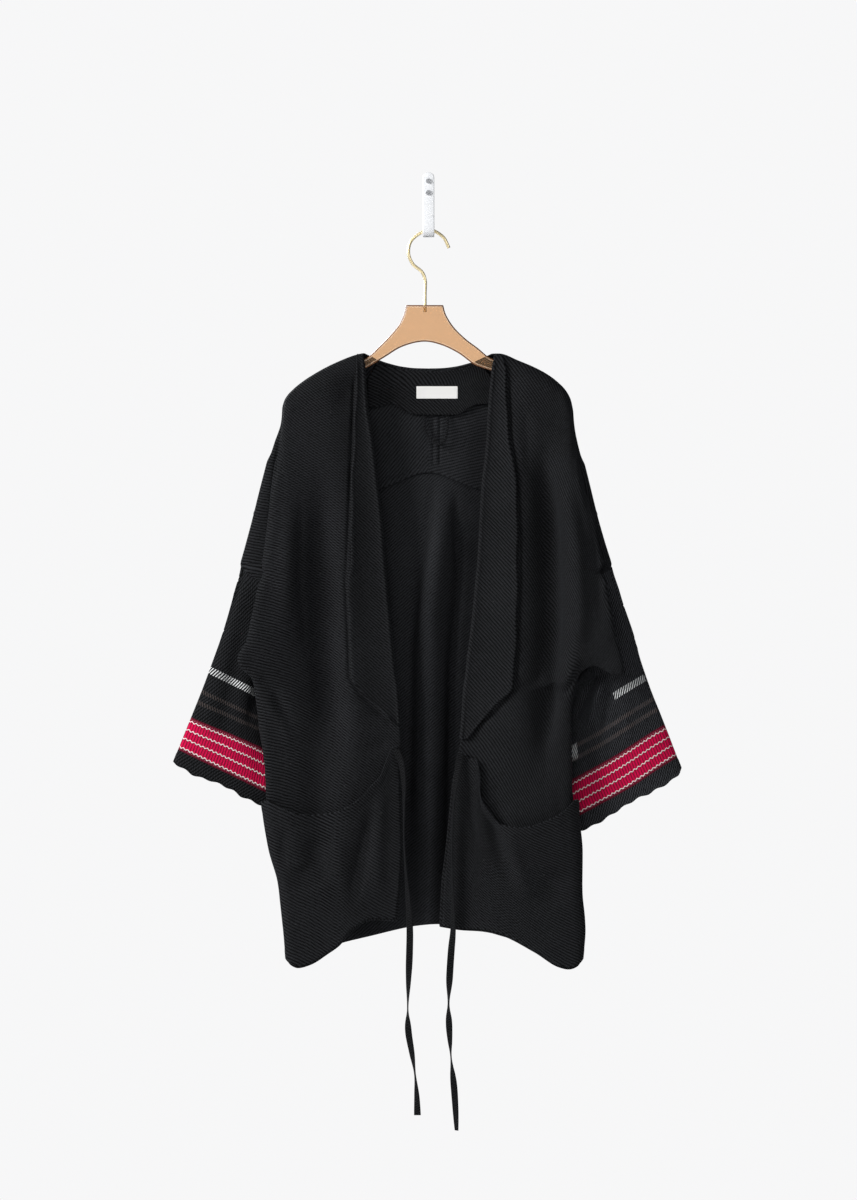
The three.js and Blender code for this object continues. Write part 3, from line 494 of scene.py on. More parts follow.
def sleevePoint(side, along, angle):
    # angle goes once round the tube: 0 is the top fold, half a turn the underarm, by the front
    along, angle = np.broadcast_arrays(np.asarray(along, float), np.asarray(angle, float))
    inFront = angle <= math.pi
    face = np.where(inFront, 1.0, -1.0)
    half = np.where(inFront, angle, 2 * math.pi - angle)
    share = (1 - np.cos(half)) / 2
    step = half / math.pi * seamSteps

    def ring(at):
        value = {name: read(side["sleeve"], name, at) for name in side["sleeve"] if name != "along"}
        return [mix(value["topX"], value["underX"], share),
                mix(value["topOff"], value["underOff"], share) + face * value["half"] * np.sin(half),
                mix(value["topDrop"], value["underDrop"], share)]

    seam = {name: read(side["seam"], name, step) for name in ("x", "backX", "drop", "frontOff", "backOff")}
    inset = cloth["wall"] + cloth["lap"]
    near = ease((step - seamSteps / 2) / 3)
    depth = np.where(inFront, seam["frontOff"], seam["backOff"])
    ends = [np.where(inFront, seam["x"], seam["backX"] + 2.5 * near),
            depth - face * inset * (1 + 0.6 * near), seam["drop"]]
    atTop = ease(1 - step)
    atUnder = ease(step - seamSteps + 1)
    top = [seam["x"] - inset - 0.3, seamOff, seam["drop"] + inset - 3.4]
    under = [seam["x"] + 2.4 * inset, depth - 0.5, seam["drop"] - 2.4 * inset]
    ends = [mix(mix(end, t, atTop), u, atUnder) for end, t, u in zip(ends, top, under)]
    keep = (1 - along) ** (2.5 + 32 * near)
    x, off, drop = [plain + (end - start) * keep
                    for plain, start, end in zip(ring(along), ring(np.zeros_like(along)), ends)]
    return place(side["sign"] * x, off, drop)


# shells of cloth

def gridNormals(grid, loop=False):
    wide = np.concatenate([grid[:, -1:], grid, grid[:, :1]], axis=1) if loop else grid
    across = np.gradient(wide, axis=1)
    down = np.gradient(wide, axis=0)
    normals = unit(np.cross(across, down))
    return normals[:, 1:-1] if loop else normals


def outward(grid, loop=False):
    # normals that point out of a tube, or toward the front
    normals = gridNormals(grid, loop)
    if loop:
        away = grid - grid.mean(axis=1, keepdims=True)
        sense = np.sign((normals * away).sum())
    else:
        sense = np.sign(-normals[..., 1].sum())
    return normals * sense


def squares(rows, cols, loop):
    # the corners of each square of a grid, and its places in a map that is cut open on a tube
    i, j = np.mgrid[0:rows - 1, 0:(cols if loop else cols - 1)]

    def around(wide, after):
        four = [i * wide + j, i * wide + after, (i + 1) * wide + after, (i + 1) * wide + j]
        return np.stack(four, -1).reshape(-1, 4)

    return around(cols, (j + 1) % cols), around(cols + 1 if loop else cols, j + 1)


def edgeRing(rows, cols, loop):
    # grid places round each edge, and the neighbour inside each of them
    if loop:
        across = [(0, j) for j in range(cols)], [(rows - 1, j) for j in range(cols)]
        inside = [(1, j) for j in range(cols)], [(rows - 2, j) for j in range(cols)]
        return list(zip(across, inside))
    ring = [(0, j) for j in range(cols)] + [(i, cols - 1) for i in range(1, rows)]
    ring += [(rows - 1, j) for j in range(cols - 2, -1, -1)] + [(i, 0) for i in range(rows - 2, 0, -1)]
    inner = [(min(max(i, 1), rows - 2), min(max(j, 1), cols - 2)) for i, j in ring]
    return [(ring, inner)]


def clothMesh(name, grid, thickness, loop, maps, material):
    # a closed shell with rounded edges; maps are named arrays of two values for each grid point
    rows, cols = grid.shape[:2]
    normals = outward(grid, loop)
    half = np.broadcast_to(np.asarray(thickness, float), (rows, cols))[..., None] / 2
    front = grid + normals * half
    back = grid - normals * half
    points = [front.reshape(-1, 3), back.reshape(-1, 3)]
    count = rows * cols
    wide = cols + 1 if loop else cols
    corners, spots = squares(rows, cols, loop)
    faces = [corners, corners[:, ::-1] + count]
    mapSpots = [spots, spots[:, ::-1]]
    total = 2 * count
    for ring, inner in edgeRing(rows, cols, loop):
        ri, rj = np.array(ring).T
        ni, nj = np.array(inner).T
        away = grid[ri, rj] - grid[ni, nj]
        normal = normals[ri, rj]
        away = unit(away - normal * (away * normal).sum(-1, keepdims=True))
        size = half[ri, rj]
        loops = [ri * cols + rj]
        for turn in (45, 90, 135):
            c, s = math.cos(math.radians(turn)), math.sin(math.radians(turn))
            points.append(grid[ri, rj] + normal * size * c + away * size * s)
            loops.append(total + np.arange(len(ring)))
            total += len(ring)
        loops.append(ri * cols + rj + count)
        spot = ri * wide + rj
        nextSpot = spot + 1 if loop else np.roll(spot, -1)
        for a, b in zip(loops, loops[1:]):
            faces.append(np.stack([a, b, np.roll(b, -1), np.roll(a, -1)], -1))
            mapSpots.append(np.stack([spot, spot, nextSpot, nextSpot], -1))
    points = np.concatenate(points) * mm
    faces = np.concatenate(faces)
    mapSpots = np.concatenate(mapSpots)
    a, b, c, d = (points[faces[:, k]] for k in range(4))
    volume = (np.cross(a, b) * c).sum() + (np.cross(a, c) * d).sum()
    if volume < 0:
        faces, mapSpots = faces[:, ::-1], mapSpots[:, ::-1]
    return addMesh(name, points, faces, mapSpots, maps, material)


def addMesh(name, points, faces, mapSpots, maps, material):
    mesh = bpy.data.meshes.new(name)
    mesh.from_pydata(points.tolist(), [], faces.tolist())
    for mapName, values in maps.items():
        layer = mesh.uv_layers.new(name=mapName)
        layer.data.foreach_set("uv", values.reshape(-1, 2)[mapSpots.reshape(-1)].ravel().astype(np.float32))
    mesh.polygons.foreach_set("use_smooth", [True] * len(mesh.polygons))
    mesh.update()
    mesh.materials.append(material)
    return addPiece(name, mesh)


def finishPiece(piece, slot, node):
    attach(piece, "root")
    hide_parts(node)


def declareCloth(piece, grid, loop=False):
    # the cut of what shows: its greatest width and length over the cloth, and its own area
    wide = np.concatenate([grid, grid[:, :1]], 1) if loop else grid
    width = overCloth(wide, 1)[:, -1].max() * mm
    length = overCloth(wide, 0)[-1].max() * mm
    corners = np.cross(wide[1:, 1:] - wide[:-1, :-1], wide[1:, :-1] - wide[:-1, 1:])
    area = np.linalg.norm(corners, axis=-1).sum() / 2 * mm * mm
    flat = (round(float(width), 3), round(float(length), 3))
    area = round(min(float(area), flat[0] * flat[1]), 4)
    print(piece.name, "cut", flat, area)


def sewn(name, node, grid, thickness, weave, restsOn, material=None, onBands=None):
    # a piece of the jacket; one with onBands is sewn into a tube
    loop = onBands is not None
    maps = {"weave": weave, "bands": onBands} if loop else {"weave": weave}
    piece = clothMesh(name, grid, thickness, loop, maps, material or blackCloth)
    finishPiece(piece, "label" if node == "label" else "twill", node)
    declareCloth(piece, grid, loop)


# measures over the cloth

def overCloth(grid, axis):
    # how far each grid point is from the first row, or with axis 1 from the first column
    steps = np.linalg.norm(np.diff(grid, axis=axis), axis=-1)
    return np.concatenate([np.zeros_like(steps.take([0], axis)), np.cumsum(steps, axis)], axis)


def respaced(grid, count):
    # each row again, with its points evenly spaced over the cloth
    along = overCloth(grid, 1)
    share = np.linspace(0, 1, count)
    rows = [np.stack([np.interp(share * at[-1], at, row[:, k]) for k in range(3)], -1)
            for at, row in zip(along, grid)]
    return np.stack(rows)


def softened(grid, passes):
    # eases small kinks out of a surface; its edges stay where they are
    grid = grid.copy()
    for _ in range(passes):
        grid[:, 1:-1] = grid[:, :-2] * 0.25 + grid[:, 1:-1] * 0.5 + grid[:, 2:] * 0.25
        grid[1:-1] = grid[:-2] * 0.25 + grid[1:-1] * 0.5 + grid[2:] * 0.25
    return grid


def bunchedShares(until, first, count):
    # shares from 0 to 1, with more of them up to a given one
    start = np.linspace(0, until, first, endpoint=False)
    return np.concatenate([start, np.linspace(until, 1, count - first)])


def shareAcross(grid):
    along = overCloth(grid, 1)
    return along / along[:, -1:]


def waleMap(grid, spacing, lean, sign):
    # lean: how steeply the wales fall, in degrees, by the distance from the front edge
    across = overCloth(grid, 1)
    slope = np.tan(np.radians(read(table("at degrees", lean), "degrees", across)))
    fall = np.cumsum((slope * np.gradient(across, axis=1))[:, 1:], 1)
    gone = np.concatenate([np.zeros((len(grid), 1)), fall], 1)
    wales = (-grid[..., 2] - sign * gone) / spacing
    return np.stack([wales, across * 0.5 + overCloth(grid, 0)], -1)


# materials

def mathNode(operation):
    return lambda wire, *others: wire.paint.add("Math", {"operation": operation}, (wire, *others))


class Wire:
    # one output of a node; sums on it become Math nodes
    def __init__(self, paint, socket):
        self.paint = paint
        self.socket = socket

    __add__ = __radd__ = mathNode("ADD")
    __sub__ = mathNode("SUBTRACT")
    __mul__ = __rmul__ = mathNode("MULTIPLY")
    __truediv__ = mathNode("DIVIDE")
    power = mathNode("POWER")
    atMost = mathNode("MINIMUM")
    fract = mathNode("FRACT")
    floor = mathNode("FLOOR")
    under = mathNode("LESS_THAN")
    size = mathNode("ABSOLUTE")
    sine = mathNode("SINE")

    def __rsub__(self, other):
        return self.paint.add("Math", {"operation": "SUBTRACT"}, (other, self))

    def wave(self):
        return (self * (2 * math.pi)).sine()


class Nodes:
    def __init__(self, owner):
        owner.use_nodes = True
        self.tree = owner.node_tree

    def add(self, kind, settings, values, out=0):
        node = self.tree.nodes.new("ShaderNode" + kind)
        for name, value in settings.items():
            setattr(node, name, value)
        for key, value in values.items() if isinstance(values, dict) else enumerate(values):
            self.feed(node.inputs[key], value)
        return None if out is None else Wire(self, node.outputs[out])

    def feed(self, socket, value):
        if isinstance(value, Wire):
            self.tree.links.new(value.socket, socket)
        elif isinstance(value, tuple) and socket.type == "RGBA" and len(value) == 3:
            socket.default_value = (*value, 1)
        else:
            socket.default_value = value


class Paint(Nodes):
    def __init__(self, name, fixed):
        self.material = bpy.data.materials.new(name)
        super().__init__(self.material)
        self.shader = self.tree.nodes["Principled BSDF"]
        for socket, value in fixed.items():
            self.shader.inputs[socket].default_value = value

    def mixed(self, a, b, mask):
        settings = {"data_type": "RGBA", "clamp_factor": True}
        return self.add("Mix", settings, {0: mask, 6: a, 7: b}, 2)

    def span(self, value, low, high):
        # smooth step of a value, from 0 at low to 1 at high
        return self.add("MapRange", {"interpolation_type": "SMOOTHSTEP"},
                        {"Value": value, "From Min": low, "From Max": high})

    def place(self, mapName):
        spot = self.add("UVMap", {"uv_map": mapName}, {})
        parts = self.add("SeparateXYZ", {}, {0: spot})
        return parts, Wire(self, parts.socket.node.outputs[1])

    def onObject(self):
        return self.add("TexCoord", {}, {}, 3)

    def noise(self, scale, detail=2.0, roughness=0.5):
        values = {"Scale": scale, "Detail": detail, "Roughness": roughness, "Vector": self.onObject()}
        return self.add("TexNoise", {}, values)

    def bump(self, height, distance, strength=1.0):
        values = {"Height": height, "Distance": distance, "Strength": strength}
        return self.add("Bump", {}, values)

    def set(self, **wires):
        names = {"colour": "Base Color", "rough": "Roughness", "normal": "Normal"}
        for name, wire in wires.items():
            self.feed(self.shader.inputs[names[name]], wire)


twill = {
    "dark": (0.0006, 0.0006, 0.0007), "light": (0.0202, 0.0211, 0.0236), "float": 2.6,
    "lint": (0.060, 0.060, 0.062),
    "fixed": {"Specular IOR Level": 0.10, "Sheen Weight": 0.025,
              "Sheen Roughness": 0.35, "Sheen Tint": (0.80, 0.86, 1.0, 1)},
}
# heights over the cuff line, across the woven bands of a sleeve
bands = {
    "red": {"low": 18.0, "high": 69.0, "dots": 5.0, "dotAt": 3.2, "dotPitch": 3.5, "rib": 4.2,
            "colour": (0.56, 0.0030, 0.058), "deep": (0.10, 0.003, 0.014), "dot": (0.50, 0.12, 0.17)},
    "waves": {"at": (23.1, 36.9, 50.1, 62.9), "half": 0.68, "swing": 0.9, "period": 7.0,
              "colour": (0.72, 0.66, 0.64)},
    "taupe": {"at": (93.0, 109.0), "half": 2.9, "pitch": 4.3, "colour": (0.082, 0.064, 0.059)},
    "white": {"low": 137.0, "high": 147.0, "patch": (92, 112), "patchLong": 24, "colour": (0.66, 0.67, 0.67)},
}


def twillYarn(paint):
    # diagonal ribs, each one laid from short slanting yarns
    wales, along = paint.place("weave")
    across = wales + (paint.noise(44, 2) - 0.5) * 0.8
    rib = across.fract() * 2 - 1
    crown = 1 - rib.size().power(1.7)
    yarn = (along / twill["float"] + across.floor() * 0.37).fract() * 2 - 1
    knot = 1 - yarn.size().power(2.4)
    patch = paint.noise(8, 3, 0.6) - 0.5
    fuzz = paint.noise(520, 2, 0.6) - 0.5
    tone = crown * (knot * 0.98 + 0.25) + patch * 0.42 + fuzz * 1.25 - 0.15
    height = crown * (knot * 0.5 + 0.5) + fuzz * 0.45
    return tone, height


def clothPaint(name, bright=1.0, soft=0.0):
    # soft evens the ribs out, as on cloth in shade; bright scales the colour, painting light onto the cloth
    # above 1 and shade below 1
    paint = Paint(name, twill["fixed"])
    tone, height = twillYarn(paint)
    tone = tone * (1 - soft) + 0.40 * soft
    light = tuple(part * bright for part in twill["light"])
    colour = paint.mixed(twill["dark"], light, tone)
    lint = paint.add("TexVoronoi", {"feature": "F1"}, {"Vector": paint.onObject(), "Scale": 30.0})
    colour = paint.mixed(colour, twill["lint"], paint.span(lint, 0.04, 0.02) * 0.4)
    return paint, colour, height


def blackTwill(name, bright=1.0, soft=0.0):
    paint, colour, height = clothPaint(name, bright, soft)
    paint.set(colour=colour, rough=0.95 - height * 0.2, normal=paint.bump(height, 0.0009, 0.7 - soft * 0.6))
    return paint.material


def within(paint, value, low, high, soft):
    return paint.span(value, low - soft, low + soft) * paint.span(value, high + soft, high - soft)


def bandedTwill(name, own, patch):
    # the sleeve's cloth, with its woven bands; in own, dash is the pitch of the white yarns and
    # whiteEnds how far they run along the band; patch is a fold that brings them lower down
    dash, whiteEnds = own["dash"], own["whiteEnds"]
    # the cloth's colour is scaled by own bright: on the left sleeve this is painted light, lifting cloth that
    # lies in the shadow of the front's ridge
    paint, colour, height = clothPaint(name, own["bright"])
    wander = paint.noise(120, 1) - 0.5
    along, over = paint.place("bands")
    over = over + wander * 1.2
    white, taupe, red, waves = (bands[key] for key in ("white", "taupe", "red", "waves"))
    dashes = within(paint, (along / dash + over * (own["dashLean"] / dash)).fract(), 0.08, 0.5, 0.04)
    mask = within(paint, over, white["low"], white["high"], 0.5) * paint.span(along, whiteEnds + 2, whiteEnds)
    inPatch = within(paint, along, patch, patch + white["patchLong"], 1.5)
    mask = (mask + within(paint, over, *white["patch"], 2) * inPatch) * dashes
    colour = paint.mixed(colour, white["colour"], mask)
    thread = along / taupe["pitch"] + over * (own["slant"] / taupe["pitch"])
    threads = within(paint, thread.fract(), 0.12, 0.52, 0.1)
    # the taupe thread's colour, scaled with the cloth's brightness: painted light on the left sleeve
    fawnWithPaintedLight = tuple(part * (0.7 + 0.3 * own["bright"]) for part in taupe["colour"])
    for at in taupe["at"]:
        stripe = within(paint, over, at - taupe["half"], at + taupe["half"], 0.8)
        colour = paint.mixed(colour, fawnWithPaintedLight, stripe * threads * (0.62 + wander * 0.5))
    edge = (over - red["low"]).atMost(red["high"] - over)
    rib = (along / red["rib"]).wave()
    stripe = paint.mixed(red["colour"], red["deep"], (rib * 0.5 + 0.5).power(3) + wander * 0.4)
    stripe = paint.mixed(red["deep"], stripe, paint.span(edge, red["dots"] - 0.3, red["dots"] + 0.3))
    dotAlong = (along / red["dotPitch"]).fract() - 0.5
    dotOver = (edge - red["dotAt"]) / red["dotPitch"]
    dots = paint.span(dotAlong * dotAlong + dotOver * dotOver, 0.10, 0.05)
    stripe = paint.mixed(stripe, red["dot"], dots * 0.5)
    lift = paint.span(edge, -0.4, 0.8)
    for at in waves["at"]:
        swing = (along / waves["period"] + at * 0.31).wave() * waves["swing"]
        line = paint.span((over - at - swing).size(), waves["half"] + 0.25, waves["half"] - 0.25)
        stripe = paint.mixed(stripe, waves["colour"], line)
        # a painted shadow beside each white wave line, on its side toward the cuff
        shade = paint.span((over - at - swing + 1.5).size(), 0.9, 0.3)
        stripe = paint.mixed(stripe, red["deep"], shade * (1 - line) * 0.55)
    colour = paint.mixed(colour, stripe, lift)
    height = height * (1 - lift * 0.75) + mask * 0.4 + lift * (0.5 - rib * 0.12)
    paint.set(colour=colour, rough=0.95 - height * 0.15, normal=paint.bump(height, 0.0009, 0.8))
    return paint.material


def addSky():
    world = bpy.data.worlds.new("room")
    bpy.context.scene.world = world
    room = Nodes(world)
    room.tree.nodes.clear()
    asked = ("Diffuse Depth", "Is Transmission Ray", "Is Camera Ray")
    bounces, through, fromCamera = (room.add("LightPath", {}, {}, out) for out in asked)
    # glass shows the bright room, but light that has already left a surface doesn't find it there
    mask = fromCamera + through * bounces.under(0.5)
    light = room.add("Background", {}, {"Color": sky["light"], "Strength": sky["strength"]})
    shown = room.add("Background", {}, {"Color": sky["seen"]})
    room.add("OutputWorld", {}, {"Surface": room.add("MixShader", {}, (mask, light, shown))}, None)


addSky()
blackCloth = blackTwill("blackTwill")
# the back's inside: the reverse face's lighter tone, plus painted light that makes up for the shade the
# fronts cast on it, with its ribs evened out as on cloth in shade
reverseToneAndPaintedLightCloth = blackTwill("blackTwillReverseAndPaintedLight", 1.75, 0.45)
# the ties' cloth is painted darker: painted shade, so the tapes that stand proud look as shaded as the cloth
# round them
tiePaintedShadeCloth = blackTwill("blackTapePaintedShade", 0.62)
print("materials made")


# ties: flat tapes that hang and twist, with bare ends

ties = {"width": 10, "wall": 1.7, "between": 12}
tapeSides = 16
tapeWales = 3.4
tapeEnd = 0.35


def smoothThrough(keys, stops, at):
    # through every stop, with the slope at each taken from its neighbours
    return np.stack([cubic(keys, column, np.gradient(column, keys), at) for column in stops.T], -1)


def tapeLine(sign, route, between):
    # points along a smooth line through the stops, and the turn of the tape at each
    stops = place(sign * route["x"], route["off"], route["drop"])
    knots = {"at": summed(np.sqrt(stepsAlong(stops))), "turn": route.get("turn", np.zeros(len(stops)))}
    last = len(stops) - 1
    at = np.interp(np.linspace(0, last, last * between + 1), np.arange(last + 1), knots["at"])
    return smoothThrough(knots["at"], stops, at), read(knots, "turn", at)


def tapePiece(name, line, turn, width, wall, material, corners=(0.5, 0.8), across=None):
    # a flat or round length along a line; corners say how square its section is
    tangent = unit(np.gradient(line, axis=0))
    if across is None:
        across = unit(np.cross(np.array([0, -1.0, 0]), tangent))
    across = np.broadcast_to(across, tangent.shape)
    proud = unit(np.cross(across, tangent))
    c, s = np.cos(np.radians(turn))[:, None], np.sin(np.radians(turn))[:, None]
    wide, flat = (way * c + np.cross(tangent, way) * s for way in (across, proud))
    rings = []
    for angle in np.arange(tapeSides) * 2 * math.pi / tapeSides:
        x, y = (math.copysign(abs(part) ** corner, part) / 2
                for part, corner in zip((math.cos(angle), math.sin(angle)), corners))
        rings.append(line + wide * (x * width) + flat * (y * wall))
    grid = np.stack(rings, 1)
    ends = [grid[k] * tapeEnd + line[k, None] * (1 - tapeEnd) for k in (slice(0, 1), slice(-1, None))]
    grid = np.concatenate([ends[0], grid, ends[1]])
    rows, cols = grid.shape[:2]
    faces, spots = squares(rows, cols, True)
    length = summed(stepsAlong(line))
    length = np.concatenate([[0], length, length[-1:]])
    girth = np.arange(cols + 1) / cols * 2 * (np.max(width) + wall)
    wales = (length[:, None] + girth[None]) / tapeWales
    weave = np.stack([wales, np.broadcast_to(length[:, None], wales.shape)], -1)
    piece = addMesh(name, grid.reshape(-1, 3) * mm, faces, spots, {"weave": weave}, material)
    closeEnds(piece.data, cols, rows, (weave[0, 0], weave[-1, -2]))
    return piece


def closeEnds(mesh, cols, rows, spots):
    # a many-sided face at each end of a tube
    work = bmesh.new()
    work.from_mesh(mesh)
    work.verts.ensure_lookup_table()
    layer = work.loops.layers.uv.active
    for first, way, spot in ((0, 1, spots[0]), ((rows - 1) * cols, -1, spots[1])):
        end = work.faces.new([work.verts[first + k] for k in range(cols)][::way])
        end.smooth = True
        for corner in end.loops:
            corner[layer].uv = spot
    bmesh.ops.recalc_face_normals(work, faces=work.faces)
    work.to_mesh(mesh)
    work.free()


def makeCord(name, node, course, size, material):
    line, turn = course
    piece = tapePiece(name, line, turn, *size, material)
    finishPiece(piece, "twill", node)
    tuple(line[0] * mm)
    (line * mm).tolist()


def makeTie(name, side):
    course = tapeLine(side["sign"], side["tie"], ties["between"])
    makeCord(name + "Tie", name + "_tie", course, (ties["width"], ties["wall"]), tiePaintedShadeCloth)


def onBothSides(make):
    for name, side in (("right", right), ("left", left)):
        make(name, side)


onBothSides(makeTie)
print("ties hung")


# fronts

fronts = {
    "rows": 230, "cols": 150, "rim": 1.1,
    # (low, soft, high, soft) of x and of drop
    "underArm": {"passes": 45, "x": (148, 36, 272, 14), "drop": (636, 36, 790, 40)},
    "lip": {"rise": 27, "x": (197, 24, 286, 56), "drop": (610, 100, 764, 34)},
    # each crease is (line, width, push, soft start, soft end); the next two lists are troughs of
    # the front alone, beside the lapel's free edge and behind the outer ridge
    "rightBeside": [
        ([(-107, 262), (-111, 355), (-114, 431), (-118, 544), (-120, 563), (-116, 647), (-114, 708),
          (-99, 730), (-73, 756), (-52, 778)], 3, -2.6, 0.05, 0.02),
        ([(-214, 330), (-223, 431), (-232, 530)], 4, -3.5, 0.2, 0.35),
    ],
    "leftBeside": [
        ([(115, 262), (118, 345), (125, 393), (131, 468), (133, 544), (130, 618), (125, 722), (100, 749),
          (74, 774), (56, 800)], 3, -2.6, 0.05, 0.02),
        ([(212, 330), (224, 431), (235, 520)], 4, -3, 0.2, 0.35),
    ],
    "right": {
        "spacing": 4.5, "lean": [[0, 45], [60, 38], [130, 30], [180, 14], [260, 8]],
        "creases": [
            ([(-148, 370), (-154, 520), (-150, 640), (-136, 760), (-118, 870)], 22, -13, 0.3, 0.25),
            ([(-112, 400), (-113, 560), (-108, 690)], 12, 2, 0.3, 0.3),
            ([(-200, 440), (-205, 560), (-204, 650)], 12, 3, 0.4, 0.4),
            ([(-184, 430), (-186, 560), (-176, 690)], 6, -3, 0.4, 0.4),
            ([(-252, 700), (-222, 728), (-196, 790)], 9, -4, 0.2, 0.5),
            ([(-246, 730), (-212, 770), (-196, 820)], 9, 2.5, 0.3, 0.5),
            ([(-108, 262), (-132, 340)], 14, -2, 0.3, 0.5),
            ([(-60, 770), (-92, 742), (-128, 738)], 8, -2.5, 0.2, 0.5),
            ([(-52, 800), (-90, 812), (-130, 800)], 8, -2, 0.2, 0.5),
        ],
    },
    "left": {
        "spacing": 5.8, "lean": [[0, 44], [60, 50], [110, 57], [170, 63], [260, 66]],
        "creases": [
            ([(164, 360), (175, 470), (180, 600), (177, 710), (168, 840)], 14, -14, 0.3, 0.25),
            ([(198, 420), (215, 520), (221, 620), (214, 730)], 12, 9, 0.3, 0.3),
            ([(236, 450), (246, 560), (250, 650)], 9, -3, 0.4, 0.3),
            ([(250, 480), (262, 590), (272, 660)], 8, 4, 0.4, 0.3),
            ([(234, 455), (252, 548), (270, 650), (281, 702)], 3, 1.6, 0.1, 0.05),
            ([(122, 320), (130, 440)], 12, 2, 0.4, 0.4),
            ([(138, 300), (147, 430)], 9, -2.5, 0.3, 0.4),
            ([(58, 775), (92, 760), (128, 770)], 8, -2.5, 0.2, 0.5),
        ],
    },
}


def frontPush(name, side, x, drop):
    return creasePush(fronts[name]["creases"], x, drop) + unevenness(x, drop, 0.8, 3 + side["sign"])


def dressedFront(name, side, level, share):
    # the front's surface with its creases, and the way it faces
    grid = frontPoint(side, level, share)
    normal = frontNormal(side, level, share)
    return grid + normal * frontPush(name, side, *seen(grid))[..., None], normal


def lipArch(x, drop):
    # the overhanging lip under the arm is drawn up between its tip and the side
    lip = fronts["lip"]
    return lip["rise"] * inside(x, *lip["x"]) * inside(drop, *lip["drop"])


def makeFront(name, side):
    own = fronts[name]
    # rows bunch at the shoulder and at the hem
    bunched = [neckDrop, 238, 239.5, 241.5, 244, 247, 251, 256]
    even = np.linspace(261, hemLevel - 3, fronts["rows"])
    levels = np.concatenate([bunched, even, [hemLevel - 1.5, hemLevel]])[:, None]
    shares = bunchedShares(panelShare, 160, 400)[None]
    grid = softened(respaced(frontPoint(side, levels, shares), fronts["cols"]), 4)
    x, drop = seen(grid)
    calm = fronts["underArm"]
    share = inside(np.abs(x), *calm["x"]) * inside(drop, *calm["drop"])
    grid = mix(grid, softened(grid, calm["passes"]), share[..., None])
    weave = waleMap(grid, own["spacing"], own["lean"], side["sign"])
    x, drop = seen(grid)
    across = shareAcross(grid)
    held = ease((1 - across) / 0.12) * ease((levels - neckDrop) / 30)
    beside, behind = fronts[name + "Beside"]
    push = frontPush(name, side, x, drop) + creasePush([beside], x, drop) * ease((0.6 - across) / 0.05)
    push = (push + creasePush([behind], x, drop) * ease((across - 0.75) / 0.06)) * held
    grid = grid + outward(grid) * push[..., None]
    if name == "left":
        grid[..., 2] += lipArch(*seen(grid))
    thick = cloth["wall"] + fronts["rim"] * ease((levels - hemLevel + hemWidth) / 5)
    sewn(name + "Front", name + "_front", grid, thick, weave, ["hangerPlate"])


onBothSides(makeFront)
print("fronts made")


# back

back = {
    "rows": 170, "cols": 190, "yokeRows": 70, "yokeCols": 170,
    "seams": [
        ([(7, 325), (6.5, 398)], 1.5, -1.6, 0.02, 0.02),
        ([(16.5, 325), (16, 398)], 1.5, -1.6, 0.02, 0.02),
        ([(11.7, 325), (11.3, 398)], 2.6, 0.9, 0.02, 0.02),
    ],
    "slope": 40, "spacing": 4.7, "leftYoke": (14, 4.4), "rightYoke": (50, 6.4),
    "thinnest": 2.4, "seamDepth": 2.4, "rim": 0.8, "yokeRim": 1.0,
    "creases": [
        ([(12, 410), (-8, 518), (-26, 663), (-29, 952)], 7, -4, 0.1, 0.2),
        ([(38, 421), (44, 566), (33, 692), (29, 1040)], 6, -5, 0.1, 0.2),
        ([(96, 300), (98, 480), (92, 700), (84, 960)], 36, -9, 0.1, 0.2),
        ([(-106, 300), (-104, 480), (-92, 700), (-84, 960)], 34, -9, 0.1, 0.2),
        ([(-52, 520), (-50, 700), (-46, 940)], 13, 2.5, 0.3, 0.3),
    ],
}


def backPush(x, drop):
    return creasePush(back["creases"], x, drop) + unevenness(x, drop, 0.7, 7)


def straightWeave(x, drop, slope, spacing):
    return np.stack([(drop + math.tan(math.radians(slope)) * x) / spacing, x + drop * 0.7], -1)


def makeBack():
    under = yokeDrop + np.array([0.4, 1.4, 2.6, 4, 5.6, 7.4])
    levels = np.concatenate([under, np.linspace(yokeDrop + 10, hemLevel - 2, back["rows"]), [hemLevel]])
    levels = levels[:, None]
    shares = np.linspace(0, 1, 240)[None]
    halves = [backPoint(side, levels, shares) for side in (right, left)]
    grid = np.concatenate([halves[0][:, ::-1], halves[1][:, 1:]], 1)
    grid = softened(respaced(grid, back["cols"]), 3)
    x, drop = seen(grid)
    weave = straightWeave(x, drop, back["slope"], back["spacing"])
    share = shareAcross(grid)
    calm = ease(np.minimum(share, 1 - share) / 0.08)
    seam = back["seamDepth"] * np.exp(-((levels - yokeDrop - 2.5) / 2.6) ** 2)
    push = np.maximum((backPush(x, drop) - seam) * calm, back["thinnest"] + grid[..., 1])
    grid = grid + outward(grid) * push[..., None]
    thick = cloth["wall"] + back["rim"] * ease((levels - hemLevel + hemWidth) / 5) * np.ones_like(drop)
    sewn("back", "back_body", grid, thick, weave, ["leftYoke", "rightYoke"], reverseToneAndPaintedLightCloth)


